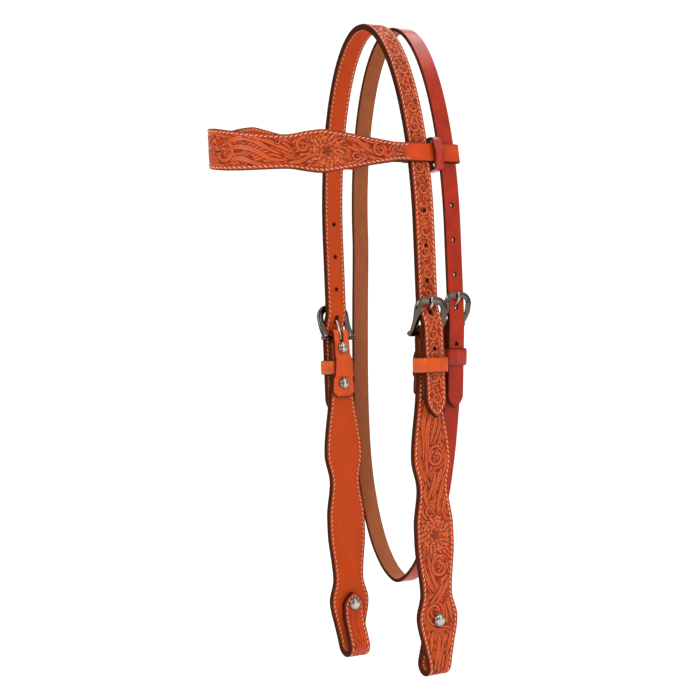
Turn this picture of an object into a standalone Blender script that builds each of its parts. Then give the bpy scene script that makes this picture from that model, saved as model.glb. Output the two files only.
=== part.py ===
# Western headstall: a doubled, stitched crown strap over the poll, buckled on each side to a
# scalloped cheek piece whose lower end folds up into a loop for the bit, with a shaped browband
# and a single-thickness throat latch that both straps carry.
# Metres, +Z up. The horse faces -Y and its left (near) side is +X. The origin is the underside
# of the crown strap at the poll, where the headstall hangs.

import math
from bisect import bisect_right

import bmesh
import bpy
from mathutils import Matrix, Vector

X = Vector((1, 0, 0))
Y = Vector((0, 1, 0))
Z = Vector((0, 0, 1))

# Fits shared by every piece
CLEARANCE = 0.0003
OVERRUN = 0.0005
WELD = 0.000001

# Leather thicknesses
STRAP_LEATHER = 0.00245
THROAT_LEATHER = 0.0030
CHAPE_LEATHER = 0.0024
KEEPER_LEATHER = 0.0020

# Crown strap
CROWN_WIDTH = 0.0190
ARCH_HALF_SPAN = 0.0690
ARCH_RISE = 0.1756
SEAT_LENGTH = 0.0070
BILLET_TIP_DROP = 0.0692
BILLET_POINT = 0.0150
TIP_POWER = 1.75
FLAP_TIP_POWER = 2.2
TIP_SHARES = (1, 0.75, 0.52, 0.32, 0.16, 0.06)
HOLE_RADIUS = 0.0017
HOLE_PITCH = 0.0286
HOLES_ABOVE_TONGUE = 3
HOLES_BELOW_TONGUE = 1

# Buckle bars of the cheeks, measured down from the poll, and how far they sit inside the arch
CHEEK_INSET = 0.0030
CHEEK_BAR_DROP = 0.2585

# Cheek pieces: places are distances below the buckle bar, shares are parts of the whole drop,
# and the taper's places are distances below the bit loop's screw
CHEEK_DROP = 0.2805
CHEEK_TOP = 0.0045
CHEEK_TOP_WIDTH = 0.0192
CHEEK_NECK = 0.0330
CHEEK_NECK_WIDTH = 0.0198
CHEEK_SHOULDER = 0.0525
CHEEK_SHOULDER_WIDTH = 0.0236
FIRST_LOBE_SHARE = 0.369
FIRST_WAIST_SHARE = 0.451
SECOND_LOBE_SHARE = 0.5865
SECOND_WAIST_SHARE = 0.7575
THIRD_LOBE_SHARE = 0.828
LOBE_WIDTH = 0.0370
FIRST_WAIST_WIDTH = 0.0285
SECOND_LOBE_FLAT = 0.0120
SECOND_WAIST_WIDTH = 0.0293
THIRD_LOBE_WIDTH = 0.0384
TAPER_START = 0.0205
TAPER_START_WIDTH = 0.0294
TAPER_END = 0.0335
TAPER_END_WIDTH = 0.0236
BIT_LOOP_WIDTH = 0.0202
BIT_BEND_RADIUS = 0.0042
BIT_LOOP_HEIGHT = 0.0248
BIT_LOOP_EASE = 0.0045
BIT_SCREW_RISE = 0.0460
FLAP_WIDTH = 0.0195
FLAP_TIP_RISE = 0.0102
FLAP_POINT = 0.0130

# Chapes, which hold the cheek buckles
CHAPE_LEG = 0.0525
CHAPE_FOLD_WIDTH = 0.0158
CHAPE_KEEPER_WIDTH = 0.0182
CHAPE_END_WIDTH = 0.0228
LEG_SPREAD = 0.0060
FIRST_SCREW_DROP = 0.0089
SECOND_SCREW_DROP = 0.0405
KEEPER_DROP = 0.0263
KEEPER_WIDTH = 0.0126
KEEPER_RAMP = 0.0029
KEEPER_CORNER = 0.0010
KEEPER_SIDE_PLAY = 0.00045

# Buckles of the cheeks
FRAME_SIDE_PLAY = 0.0008
FRAME_STRIP = 0.0053
FRAME_THICKNESS = 0.0024
FRAME_HEIGHT = 0.0290
FRAME_CORNER = 0.0074
FRAME_FOOT = 0.0022
FRAME_CAMBER_HEIGHT = 0.0210
FRAME_FACE_GAP = 0.0014
FRAME_CHAMFER = 0.0005
BAR_RADIUS = 0.0016
BAR_BALL_RADIUS = 0.0023
BAR_BALL_REACH = 0.0018
TONGUE_RADIUS = 0.0011
TONGUE_TIP_RADIUS = 0.0008
TONGUE_PLAY = 0.0014
TONGUE_STEP = 0.0034
CURL_TURN = math.radians(285)
CURL_STEPS = 12
# How a tongue bows from its curl to its seat on the frame: shares of the seat's offset and rise
TONGUE_SHARES = ((-0.17, 0.18), (0.11, 0.39), (0.555, 0.615), (0.905, 0.825))
TONGUE_DRAWN_SHARE = 0.20
FRAME_SIDE_SHARES = (0.0, 0.33, 0.66)
LAP_START = 0.0240
LAP_END = 0.0040

# Throat latch
THROAT_WIDTH = 0.0159
THROAT_SETBACK = 0.0290
THROAT_INSET = 0.0080
THROAT_BAR_DROP = 0.2520
THROAT_LEAN = math.radians(5.5)
THROAT_LEG = 0.0500
THROAT_TIP_DROP = 0.0690
THROAT_POINT = 0.0110
THROAT_DEPTH = 0.3000
THROAT_STRAIGHT = 0.0100
THROAT_FIRST_SCREW_DROP = 0.0105
THROAT_SECOND_SCREW_DROP = 0.0425
THROAT_KEEPER_DROP = 0.0265
THROAT_KEEPER_WIDTH = 0.0140
THROAT_FRAME_STRIP = 0.0046
THROAT_FRAME_SIDE_PLAY = 0.00065
THROAT_FRAME_THICKNESS = 0.0020
THROAT_FRAME_HEIGHT = 0.0260
THROAT_FRAME_CORNER = 0.0066
THROAT_FRAME_FOOT = 0.0020
THROAT_FRAME_CAMBER_HEIGHT = 0.0165
THROAT_FRAME_FACE_GAP = 0.0006
THROAT_BAR_RADIUS = 0.0015
THROAT_BALL_RADIUS = 0.0021
THROAT_BALL_REACH = 0.0015
THROAT_TONGUE_RADIUS = 0.0010
THROAT_HOLE_RADIUS = 0.0016
# Where the hanging loop runs, near side first: shares of the arch's half span and of the depth
THROAT_LOOP_SHARES = (
    (0.820, 0.503), (0.715, 0.617), (0.580, 0.725), (0.440, 0.806), (0.250, 0.889),
    (0.000, 0.958), (-0.300, 0.996), (-0.560, 0.975), (-0.780, 0.920), (-0.930, 0.852),
    (-1.040, 0.772), (-1.115, 0.680), (-1.145, 0.560), (-1.130, 0.400), (-1.070, 0.200),
)

# Browband: places are distances along the band from the crown strap's middle. Its near end
# hangs at the drop and its far end rides a little higher.
BROWBAND_DROP = 0.1113
FAR_RISE = 0.0165
RISE_START_SHARE = 0.42
RISE_END_SHARE = 0.80
BROWBAND_REACH = 0.1515
TAB_WIDTH = 0.0156
TAB_END = 0.0220
BROWBAND_TAPER_START = 0.0320
BROWBAND_TAPER_START_WIDTH = 0.0180
BROWBAND_TAPER_END = 0.0760
BROWBAND_TAPER_END_WIDTH = 0.0316
BROWBAND_HUMP = 0.0880
BROWBAND_HUMP_WIDTH = 0.0345
BROWBAND_HUMP_END = 0.0980
BROWBAND_HUMP_END_WIDTH = 0.0325
BROWBAND_WAIST = 0.1170
BROWBAND_WAIST_WIDTH = 0.0270
BROWBAND_MIDDLE_WIDTH = 0.0325
BROWBAND_LEAN_RUN = 0.0600
LOOP_PLAY = 0.0009
LOOP_END_PLAY = 0.0017
LINING_SETBACK = 0.0030
RETURN_LAP = 0.0150
RETURN_STEP = 0.0080
RING_LEATHER = 0.0020
RING_WIDTH = 0.0092
RING_RISE_PLAY = 0.0030
RING_DROP_PLAY = 0.0052
RING_PLAY = 0.0005
RING_CORNER = 0.0030

# Two-part screws: a domed cap with a threaded barrel, and a headed screw that enters it
BARREL_RADIUS = 0.0022
BORE_RADIUS = 0.0016
CAP_RADIUS = 0.00475
CAP_DOME = 0.0020
CAP_RIM = 0.0006
SCREW_HEAD = 0.0009
SCREW_HEAD_RADIUS = 0.0045
SCREW_REACH = 0.0060
BIT_CAP_RADIUS = 0.0055
BIT_CAP_DOME = 0.0024
THROAT_CAP_RADIUS = 0.0042
THROAT_HEAD_RADIUS = 0.0040

# How finely curves are drawn
BEND_STEP = math.radians(8.0)
TIGHT_STEP = math.radians(15.0)
FINE_STEP = math.radians(3.0)
STRAIGHT = math.radians(0.03)
CHORD_SAG = 0.0002
OUTLINE_STEP = 0.0095
ROUTE_STEP = 0.0020
HOLE_SIDES = 10
SCREW_SIDES = 12
BAR_SIDES = 12
TONGUE_SIDES = 8
CORNER_STEPS = 4
FRAME_CORNER_STEPS = 5

# Sizes that follow from the ones above
LAMINATE_HALF = STRAP_LEATHER + CLEARANCE / 2
GLUE_TOP = STRAP_LEATHER + CLEARANCE / 2
SEAT_ANGLE = math.asin(SEAT_LENGTH / 2 / ARCH_HALF_SPAN)
ARCH_CENTRE = GLUE_TOP - ARCH_RISE * math.cos(SEAT_ANGLE)
CHEEK_HALF_SPAN = ARCH_HALF_SPAN - CHEEK_INSET
THROAT_BAR_SPAN = ARCH_HALF_SPAN - THROAT_INSET
BIT_SCREW_DROP = CHEEK_DROP - BIT_SCREW_RISE
CHEEK_BAR_Z = -CHEEK_BAR_DROP
THROAT_BAR_Z = -THROAT_BAR_DROP
CHAPE_MIDDLE = LAMINATE_HALF + CLEARANCE + CHAPE_LEATHER / 2
CHAPE_OUTSIDE = CHAPE_MIDDLE + CHAPE_LEATHER / 2
CHAPE_FOLD = BAR_RADIUS + CLEARANCE + CHAPE_LEATHER / 2
KEEPER_BULGE = KEEPER_LEATHER + CLEARANCE
BILLET_OFFSET = CHAPE_OUTSIDE + SCREW_HEAD + 2 * CLEARANCE + LAMINATE_HALF
CROWN_OFFSET = ARCH_HALF_SPAN - CHEEK_HALF_SPAN
BARREL_HOLE = BARREL_RADIUS + CLEARANCE
FLAP_OFFSET = 2 * LAMINATE_HALF + CLEARANCE
THROAT_FOLD = THROAT_BAR_RADIUS + CLEARANCE + THROAT_LEATHER / 2
THROAT_RETURN = THROAT_FOLD - THROAT_LEATHER - KEEPER_LEATHER - 2 * CLEARANCE
THROAT_LAP = THROAT_FOLD + THROAT_LEATHER + SCREW_HEAD + 2 * CLEARANCE

SADDLE_TAN = (0.60, 0.12, 0.035, 1.0)
LINING_TAN = (0.56, 0.11, 0.03, 1.0)
LATIGO_RED = (0.46, 0.06, 0.025, 1.0)
NICKEL = (0.24, 0.22, 0.19, 1.0)


# Small geometry helpers

def smooth(share):
    share = min(max(share, 0), 1)
    return share * share * (3 - 2 * share)


def arc_points(centre, radius_x, radius_z, start, end):
    steps = max(2, math.ceil(abs(end - start) / FINE_STEP))
    angles = [start + (end - start) * i / steps for i in range(steps + 1)]
    return [centre + X * radius_x * math.cos(a) + Z * radius_z * math.sin(a) for a in angles]


def ease_points(start, end, axis):
    """An S-curve that leaves and arrives along the axis."""
    run = axis * (end - start).dot(axis)
    shift = (end - start) - run
    steps = 20
    return [start + run * (i / steps) + shift * smooth(i / steps) for i in range(steps + 1)]


def through_points(knots, step):
    """A smooth curve through the knots, from the second to the last but one."""
    points = []
    for a, b, c, d in zip(knots, knots[1:], knots[2:], knots[3:]):
        steps = max(2, math.ceil((c - b).length / step))
        for i in range(steps):
            t = i / steps
            points.append(0.5 * (2 * b + (c - a) * t + (2 * a - 5 * b + 4 * c - d) * t * t
                                 + (3 * b - a - 3 * c + d) * t * t * t))
    return points + [knots[-2]]


def width_curve(knots):
    """Half widths along a strap, flat at each knot that is a highest or lowest one."""
    places = [place for place, _ in knots]
    halves = [width / 2 for _, width in knots]
    slopes = [0.0] * len(knots)
    for i in range(1, len(knots) - 1):
        before = (halves[i] - halves[i - 1]) / (places[i] - places[i - 1])
        after = (halves[i + 1] - halves[i]) / (places[i + 1] - places[i])
        if before * after > 0:
            slopes[i] = 2 * before * after / (before + after)

    def half_width(place):
        i = min(max(bisect_right(places, place) - 1, 0), len(places) - 2)
        span = places[i + 1] - places[i]
        t = min(max((place - places[i]) / span, 0), 1)
        return (halves[i] * (1 + 2 * t) * (1 - t) ** 2 + slopes[i] * span * t * (1 - t) ** 2
                + halves[i + 1] * t * t * (3 - 2 * t) + slopes[i + 1] * span * t * t * (t - 1))

    return half_width


def steps_between(start, end, step):
    count = max(1, round((end - start) / step))
    return [start + (end - start) * i / count for i in range(count + 1)]


def pointed(half, end, length, power):
    """Half width near a tip: two convex sides that meet in a point at the end."""
    def half_width(place):
        left = min(max((end - place) / length, 0), 1)
        return half * (1 - (1 - left) ** power)
    return half_width


def tip_stations(end, length):
    return [end - length * share for share in TIP_SHARES]


class Route:
    """The line that a strap's middle follows, with the direction across the strap."""

    def __init__(self, points, across, step=BEND_STEP, symmetric=False):
        self.symmetric = symmetric
        self.points = [points[0]]
        for point in points[1:]:
            if (point - self.points[-1]).length > WELD:
                self.points.append(point)
        self.places = [0.0]
        for a, b in zip(self.points, self.points[1:]):
            self.places.append(self.places[-1] + (b - a).length)
        self.length = self.places[-1]
        self.across = across
        self.step = step
        runs = [(b - a).normalized() for a, b in zip(self.points, self.points[1:])]
        self.runs = runs
        self.alongs = [runs[0]]
        self.alongs += [(a + b).normalized() for a, b in zip(runs, runs[1:])]
        self.alongs.append(runs[-1])

    def at(self, place):
        i = min(max(bisect_right(self.places, place) - 1, 0), len(self.points) - 2)
        t = (place - self.places[i]) / (self.places[i + 1] - self.places[i])
        point = self.points[i].lerp(self.points[i + 1], t)
        along = self.alongs[i].lerp(self.alongs[i + 1], min(max(t, 0), 1)).normalized()
        across = self.across(point) if callable(self.across) else self.across
        face = along.cross(across).normalized()
        return point, face.cross(along), face

    def place_of(self, point):
        i = min(range(len(self.points)), key=lambda k: (self.points[k] - point).length)
        return self.places[i]

    def bends(self):
        """Places where the strap needs an edge across it to follow the bend."""
        first = self.length / 2 if self.symmetric else 0.0
        found = [first]
        turned = 0.0
        was_bent = False
        for i in range(max(1, bisect_right(self.places, first)), len(self.runs)):
            turn = self.runs[i - 1].angle(self.runs[i])
            bent = turn > STRAIGHT
            turned += turn
            sag = turned * (self.places[i] - found[-1]) / 8
            if bent != was_bent:
                found.append(self.places[i] if bent else self.places[i - 1])
                turned = 0.0
            elif turned >= self.step or sag > CHORD_SAG:
                found.append(self.places[i])
                turned = 0.0
            was_bent = bent
        if self.symmetric:
            return found[1:] + [self.length - place for place in found[1:]]
        return found


# Mesh helpers

def finish(bm, name, origin, colour, roughness, metallic=0.0, rounded=False):
    """Turns a world-space bmesh into a named object with its origin at the given point."""
    bmesh.ops.recalc_face_normals(bm, faces=bm.faces[:])
    if bm.calc_volume(signed=True) < 0:
        bmesh.ops.reverse_faces(bm, faces=bm.faces[:])
    bmesh.ops.translate(bm, verts=bm.verts[:], vec=-origin)
    mesh = bpy.data.meshes.new(name)
    bm.to_mesh(mesh)
    bm.free()
    material = bpy.data.materials.new(name + "_finish")
    material.use_nodes = True
    shader = material.node_tree.nodes["Principled BSDF"]
    shader.inputs["Base Color"].default_value = colour
    shader.inputs["Roughness"].default_value = roughness
    shader.inputs["Metallic"].default_value = metallic
    mesh.materials.append(material)
    if rounded:
        mesh.shade_smooth()
        mesh.set_sharp_from_angle(angle=math.radians(40))
    obj = bpy.data.objects.new(name, mesh)
    obj.location = origin
    bpy.context.scene.collection.objects.link(obj)
    return obj


def leather(bm, name, origin, colour=SADDLE_TAN):
    return finish(bm, name, origin, colour, 0.45)


def metal(bm, name, origin):
    return finish(bm, name, origin, NICKEL, 0.28, 1.0, rounded=True)


def turned(profile, centre, axis, sides):
    """A closed body turned about the axis; the profile holds (radius, height) pairs."""
    bm = bmesh.new()
    verts = [bm.verts.new((radius, 0, height)) for radius, height in profile]
    edges = [bm.edges.new(pair) for pair in zip(verts, verts[1:])]
    bmesh.ops.spin(bm, geom=verts + edges, cent=(0, 0, 0), axis=Z, angle=2 * math.pi,
                   steps=sides, use_merge=True)
    bmesh.ops.remove_doubles(bm, verts=bm.verts[:], dist=WELD)
    turn = Z.rotation_difference(axis).to_matrix().to_4x4()
    bmesh.ops.transform(bm, matrix=Matrix.Translation(centre) @ turn, verts=bm.verts[:])
    return bm


def thicken(bm, under, over):
    """Gives a flat pattern in the XY plane its thickness, from under to over."""
    bmesh.ops.translate(bm, verts=bm.verts[:], vec=Z * under)
    grown = bmesh.ops.extrude_face_region(bm, geom=bm.faces[:])
    top = [item for item in grown["geom"] if isinstance(item, bmesh.types.BMVert)]
    bmesh.ops.translate(bm, verts=top, vec=Z * (over - under))


def bend(bm, route):
    for vert in bm.verts:
        point, across, face = route.at(vert.co.x)
        vert.co = point + across * vert.co.y + face * vert.co.z


def hole_loop(bm, hole):
    """An obround hole: place along the strap, half length, half width."""
    place, half_length, half_width = hole
    straight = half_length - half_width
    verts = []
    for i in range(HOLE_SIDES):
        angle = 2 * math.pi * (i + 0.5) / HOLE_SIDES
        end = math.copysign(straight, math.cos(angle))
        verts.append(bm.verts.new((place + end + half_width * math.cos(angle),
                                   half_width * math.sin(angle), 0)))
    return [bm.edges.new((a, b)) for a, b in zip(verts, verts[1:] + verts[:1])]


def strap(route, start, end, half_width, under, over, stations=(), holes=()):
    """One layer of leather, cut flat with its holes and then bent along the route."""
    cells = []
    for hole in sorted(holes):
        reach = hole[1] + 2 * CLEARANCE
        cells.append((hole[0] - reach, hole[0] + reach, hole))
    wanted = [start, end] + [p for cell in cells for p in cell[:2]]
    inside = []
    for place in thinned(stations) + route.bends():
        if not start < place < end:
            continue
        if any(low < place < high for low, high, _ in cells):
            inside.append(place)
        elif min(abs(place - other) for other in wanted) > CLEARANCE * 2:
            wanted.append(place)
    places = sorted(wanted)
    bm = bmesh.new()
    rows = []
    for place in places:
        half = half_width(place)
        if half < WELD:
            vert = bm.verts.new((place, 0, 0))
            rows.append((vert, vert))
        else:
            rows.append((bm.verts.new((place, -half, 0)), bm.verts.new((place, half, 0))))
    borders = {low: hole for low, _, hole in cells}
    for place, (a, b), (c, d) in zip(places, rows, rows[1:]):
        if place in borders:
            sides = [(a, c), (c, d), (d, b), (b, a)]
            edges = [bm.edges.get(side) or bm.edges.new(side) for side in sides]
            edges += hole_loop(bm, borders[place])
            bmesh.ops.triangle_fill(bm, use_beauty=True, edges=edges)
        else:
            corners = [a, c, d, b]
            bm.faces.new([v for i, v in enumerate(corners) if v not in corners[:i]])
    bmesh.ops.recalc_face_normals(bm, faces=bm.faces[:])
    thicken(bm, under, over)
    for place in inside:
        bmesh.ops.bisect_plane(bm, geom=bm.verts[:] + bm.edges[:] + bm.faces[:],
                               dist=CLEARANCE / 2, plane_co=X * place, plane_no=X)
    bend(bm, route)
    return bm


def mirrored(bm):
    copy = bm.copy()
    bmesh.ops.scale(copy, vec=(-1, 1, 1), verts=copy.verts[:])
    bmesh.ops.reverse_faces(copy, faces=copy.faces[:])
    return copy


def both_sides(make, build, name, origin, *finish_args):
    """Makes the left piece and its mirror image on the right."""
    bm = build()
    other = mirrored(bm)
    far = Vector((-origin.x, origin.y, origin.z))
    return [make(bm, "left_" + name, origin, *finish_args),
            make(other, "right_" + name, far, *finish_args)]


def ring(low, high, corner, leather_thickness, width):
    """A closed keeper round the box from low to high, as a band in the XY plane."""
    bm = bmesh.new()
    loops = []
    for grow in (0, leather_thickness):
        loop = []
        radius = corner + grow
        for quarter, (sx, sy) in enumerate(((1, 1), (-1, 1), (-1, -1), (1, -1))):
            cx = (high[0] if sx > 0 else low[0]) - sx * corner
            cy = (high[1] if sy > 0 else low[1]) - sy * corner
            for i in range(CORNER_STEPS + 1):
                angle = math.pi / 2 * (quarter + i / CORNER_STEPS)
                loop.append(bm.verts.new((cx + radius * math.cos(angle),
                                          cy + radius * math.sin(angle), 0)))
        loops.append(loop)
    inner, outer = loops
    count = len(inner)
    for i in range(count):
        j = (i + 1) % count
        bm.faces.new((inner[i], outer[i], outer[j], inner[j]))
    thicken(bm, -width / 2, width / 2)
    return bm


def seated(bm, centre, across, along):
    """Moves a ring from the XY plane to its place: its X to 'across', its Z to 'along'."""
    side = along.cross(across)
    turn = Matrix((across, side, along)).transposed().to_4x4()
    bmesh.ops.transform(bm, matrix=Matrix.Translation(centre) @ turn, verts=bm.verts[:])
    return bm


# Crown strap: one doubled strap from billet tip to billet tip

def near_crown_points():
    """The glue line from the poll down the near side, before the lap over the chape."""
    return arc_points(Vector((0, 0, ARCH_CENTRE)), ARCH_HALF_SPAN, ARCH_RISE,
                      math.pi / 2 - SEAT_ANGLE, 0)


def crown_route():
    lap_top = Vector((ARCH_HALF_SPAN, 0, CHEEK_BAR_Z + LAP_START))
    lap_foot = Vector((CHEEK_HALF_SPAN + BILLET_OFFSET, 0, CHEEK_BAR_Z + LAP_END))
    tip = lap_foot - Z * (LAP_END + BILLET_TIP_DROP)
    near = near_crown_points() + ease_points(lap_top, lap_foot, Z) + [tip]
    far = [Vector((-p.x, p.y, p.z)) for p in reversed(near)]
    return Route(far + near, Y, symmetric=True)


CROWN = crown_route()


FRAME_TOP_OFFSET = CROWN_OFFSET + LAMINATE_HALF + FRAME_FACE_GAP + FRAME_THICKNESS / 2
TONGUE_SEAT = (FRAME_TOP_OFFSET + FRAME_THICKNESS / 2 + CLEARANCE + TONGUE_RADIUS,
               FRAME_HEIGHT - FRAME_STRIP)
THROAT_TOP_OFFSET = (THROAT_INSET + THROAT_LEATHER / 2 + THROAT_FRAME_FACE_GAP
                     + THROAT_FRAME_THICKNESS / 2)
THROAT_SEAT = (THROAT_TOP_OFFSET + THROAT_FRAME_THICKNESS / 2 + CLEARANCE + THROAT_TONGUE_RADIUS,
               THROAT_FRAME_HEIGHT - THROAT_FRAME_STRIP)


def tongue_points(bar, seat, bar_radius, wire_radius, top):
    """A tongue's middle line: round the bar, out through the strap, onto the frame's top."""
    curl = bar_radius + CLEARANCE + wire_radius
    points = []
    for i in range(CURL_STEPS):
        turn = math.pi + CURL_TURN * (1 - i / CURL_STEPS)
        points.append(bar + X * curl * math.cos(turn) + Z * curl * math.sin(turn))
    knots = [points[-1], bar - X * curl]
    knots += [bar + X * seat[0] * out + Z * seat[1] * up for out, up in TONGUE_SHARES]
    knots += [bar + X * seat[0] + Z * seat[1], bar + X * seat[0] + Z * top]
    knots.append(2 * knots[-1] - knots[-2])
    return points + through_points(knots, TONGUE_STEP)


def tongue_hole(route, path, wire_radius, thickness):
    """Where the tongue's line crosses the strap, and how long its slot has to be."""
    low, high = min(p.z for p in path), max(p.z for p in path)
    for a, b, place in zip(route.points, route.points[1:], route.places):
        if not (low < a.z < high and a.x > path[0].x and place > route.length / 2):
            continue
        run = b - a
        normal = Vector((run.z, 0, -run.x))
        for c, d in zip(path, path[1:]):
            before, after = normal.dot(c - a), normal.dot(d - a)
            if before * after > 0 or before == after:
                continue
            meet = c.lerp(d, before / (before - after))
            if not 0 <= (meet - a).dot(run) <= run.length_squared:
                continue
            slant = (d - c).angle(run)
            half = thickness / 2 / abs(math.tan(slant)) + wire_radius / math.sin(slant)
            return place + (meet - a).length, half + TONGUE_PLAY, wire_radius + CLEARANCE * 2


CHEEK_BAR = Vector((CHEEK_HALF_SPAN, 0, CHEEK_BAR_Z))
THROAT_BAR = Vector((THROAT_BAR_SPAN, THROAT_SETBACK, THROAT_BAR_Z))
TONGUE_PATH = tongue_points(CHEEK_BAR, TONGUE_SEAT, BAR_RADIUS, TONGUE_RADIUS, FRAME_HEIGHT)
THROAT_TONGUE_PATH = tongue_points(THROAT_BAR, THROAT_SEAT, THROAT_BAR_RADIUS,
                                   THROAT_TONGUE_RADIUS, THROAT_FRAME_HEIGHT)


def crown_layer(name, under, over, colour):
    tongue = tongue_hole(CROWN, TONGUE_PATH, TONGUE_RADIUS, LAMINATE_HALF * 2)
    near = [tongue]
    for k in range(-HOLES_BELOW_TONGUE, HOLES_ABOVE_TONGUE + 1):
        if k:
            near.append((tongue[0] - k * HOLE_PITCH, HOLE_RADIUS, HOLE_RADIUS))
    far = [(CROWN.length - place, length, width) for place, length, width in near]
    tip = pointed(CROWN_WIDTH / 2, CROWN.length, BILLET_POINT, TIP_POWER)

    def half_width(place):
        return tip(max(place, CROWN.length - place))

    points = tip_stations(CROWN.length, BILLET_POINT)
    stations = points + [CROWN.length - place for place in points]
    bm = strap(CROWN, 0, CROWN.length, half_width, under, over, stations, near + far)
    return leather(bm, name, Vector(), colour)


# Cheek pieces

def cheek_route():
    """Down the cheek, round the bit loop and up its flap; place 0 is the buckle bar."""
    top = CHEEK_BAR.copy()
    bend_radius = BIT_BEND_RADIUS + LAMINATE_HALF
    centre = top - Z * (CHEEK_DROP - bend_radius - LAMINATE_HALF) - X * bend_radius
    lap = Vector((CHEEK_HALF_SPAN - FLAP_OFFSET, 0, centre.z + BIT_LOOP_HEIGHT))
    reach = lap - centre
    lean = math.asin(bend_radius / reach.length) + math.atan2(reach.x, reach.z)
    turn = arc_points(centre, bend_radius, bend_radius, 0, -math.pi - lean)
    rise = (lap - turn[-1]).normalized()
    ease = [lap - rise * BIT_LOOP_EASE]
    for i in range(1, 5):
        t = i / 4
        ease.append(ease[0] * (1 - t) ** 2 + lap * 2 * t * (1 - t)
                    + (lap + Z * BIT_LOOP_EASE) * t * t)
    tip = Vector((lap.x, 0, top.z - BIT_SCREW_DROP + FLAP_TIP_RISE))
    return Route([top] + turn + ease + [tip], Y)


CHEEK = cheek_route()
CHEEK_SCREWS = (FIRST_SCREW_DROP, SECOND_SCREW_DROP, BIT_SCREW_DROP)


def cheek_half_width():
    outline = width_curve([
        (CHEEK_TOP, CHEEK_TOP_WIDTH),
        (CHEEK_NECK, CHEEK_NECK_WIDTH),
        (CHEEK_SHOULDER, CHEEK_SHOULDER_WIDTH),
        (CHEEK_DROP * FIRST_LOBE_SHARE, LOBE_WIDTH),
        (CHEEK_DROP * FIRST_WAIST_SHARE, FIRST_WAIST_WIDTH),
        (CHEEK_DROP * SECOND_LOBE_SHARE - SECOND_LOBE_FLAT / 2, LOBE_WIDTH),
        (CHEEK_DROP * SECOND_LOBE_SHARE + SECOND_LOBE_FLAT / 2, LOBE_WIDTH),
        (CHEEK_DROP * SECOND_WAIST_SHARE, SECOND_WAIST_WIDTH),
        (CHEEK_DROP * THIRD_LOBE_SHARE, THIRD_LOBE_WIDTH),
        (BIT_SCREW_DROP + TAPER_START, TAPER_START_WIDTH),
        (BIT_SCREW_DROP + TAPER_END, TAPER_END_WIDTH),
        (CHEEK_DROP, BIT_LOOP_WIDTH),
        (CHEEK.length - FLAP_POINT, FLAP_WIDTH),
    ])
    tip = pointed(1, CHEEK.length, FLAP_POINT, FLAP_TIP_POWER)
    return lambda place: outline(place) * tip(place)


def cheek_layer(name, under, over, colour):
    flap_screw = CHEEK.length - FLAP_TIP_RISE
    holes = [(drop, BARREL_HOLE, BARREL_HOLE) for drop in CHEEK_SCREWS + (flap_screw,)]
    stations = [CHEEK_DROP * FIRST_WAIST_SHARE, CHEEK_DROP * SECOND_WAIST_SHARE]
    stations += steps_between(CHEEK_TOP, CHEEK_DROP, OUTLINE_STEP)
    stations += tip_stations(CHEEK.length, FLAP_POINT)

    def build():
        return strap(CHEEK, CHEEK_TOP, CHEEK.length, cheek_half_width(), under, over,
                     stations, holes)

    both_sides(leather, build, name, CHEEK_BAR, colour)


def thinned(stations):
    """Stations in order, without those that crowd their neighbour."""
    kept = []
    for place in sorted(stations):
        if not kept or place - kept[-1] > OUTLINE_STEP / 8:
            kept.append(place)
    return kept


# Chapes: a tab folded round the buckle bar, with the cheek's top end between its legs

def chape_route():
    foot = -Z * CHAPE_LEG
    out = [X * CHAPE_MIDDLE + foot]
    out += ease_points(X * CHAPE_MIDDLE - Z * LEG_SPREAD, X * CHAPE_FOLD, Z)
    over = arc_points(Vector(), CHAPE_FOLD, CHAPE_FOLD, 0, math.pi)
    keeper_top = KEEPER_DROP - KEEPER_WIDTH / 2 - CLEARANCE
    keeper_foot = KEEPER_DROP + KEEPER_WIDTH / 2 + CLEARANCE
    bulge = -X * (CHAPE_MIDDLE + KEEPER_BULGE)
    back = ease_points(-X * CHAPE_FOLD, -X * CHAPE_MIDDLE - Z * LEG_SPREAD, Z)
    back += ease_points(-X * CHAPE_MIDDLE - Z * (keeper_top - KEEPER_RAMP),
                        bulge - Z * keeper_top, Z)
    back += ease_points(bulge - Z * keeper_foot,
                        -X * CHAPE_MIDDLE - Z * (keeper_foot + KEEPER_RAMP), Z)
    back += [-X * CHAPE_MIDDLE + foot]
    return Route([CHEEK_BAR + p for p in out + over + back], -Y, TIGHT_STEP)


CHAPE = chape_route()
CHAPE_FOLD_PLACE = CHAPE.place_of(CHEEK_BAR + Z * CHAPE_FOLD)


def chape_screw_places():
    """The screws' places on the outer leg, then on the inner one."""
    outer = [CHAPE_LEG - drop for drop in (FIRST_SCREW_DROP, SECOND_SCREW_DROP)]
    inner = []
    for drop in (FIRST_SCREW_DROP, SECOND_SCREW_DROP):
        inner.append(CHAPE.place_of(CHEEK_BAR - X * CHAPE_MIDDLE - Z * drop))
    inner[0] = CHAPE.length - chape_leg_left(FIRST_SCREW_DROP)
    inner[1] = CHAPE.length - (CHAPE_LEG - SECOND_SCREW_DROP)
    return outer, inner


def chape_leg_left(drop):
    """Length of the inner leg below a drop, its two ramps included."""
    level = CHEEK_BAR.z - drop
    left = 0.0
    for a, b in zip(reversed(CHAPE.points), list(reversed(CHAPE.points))[1:]):
        if b.z > level:
            return left + (b - a).length * (level - a.z) / (b.z - a.z)
        left += (b - a).length
    return left


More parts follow.
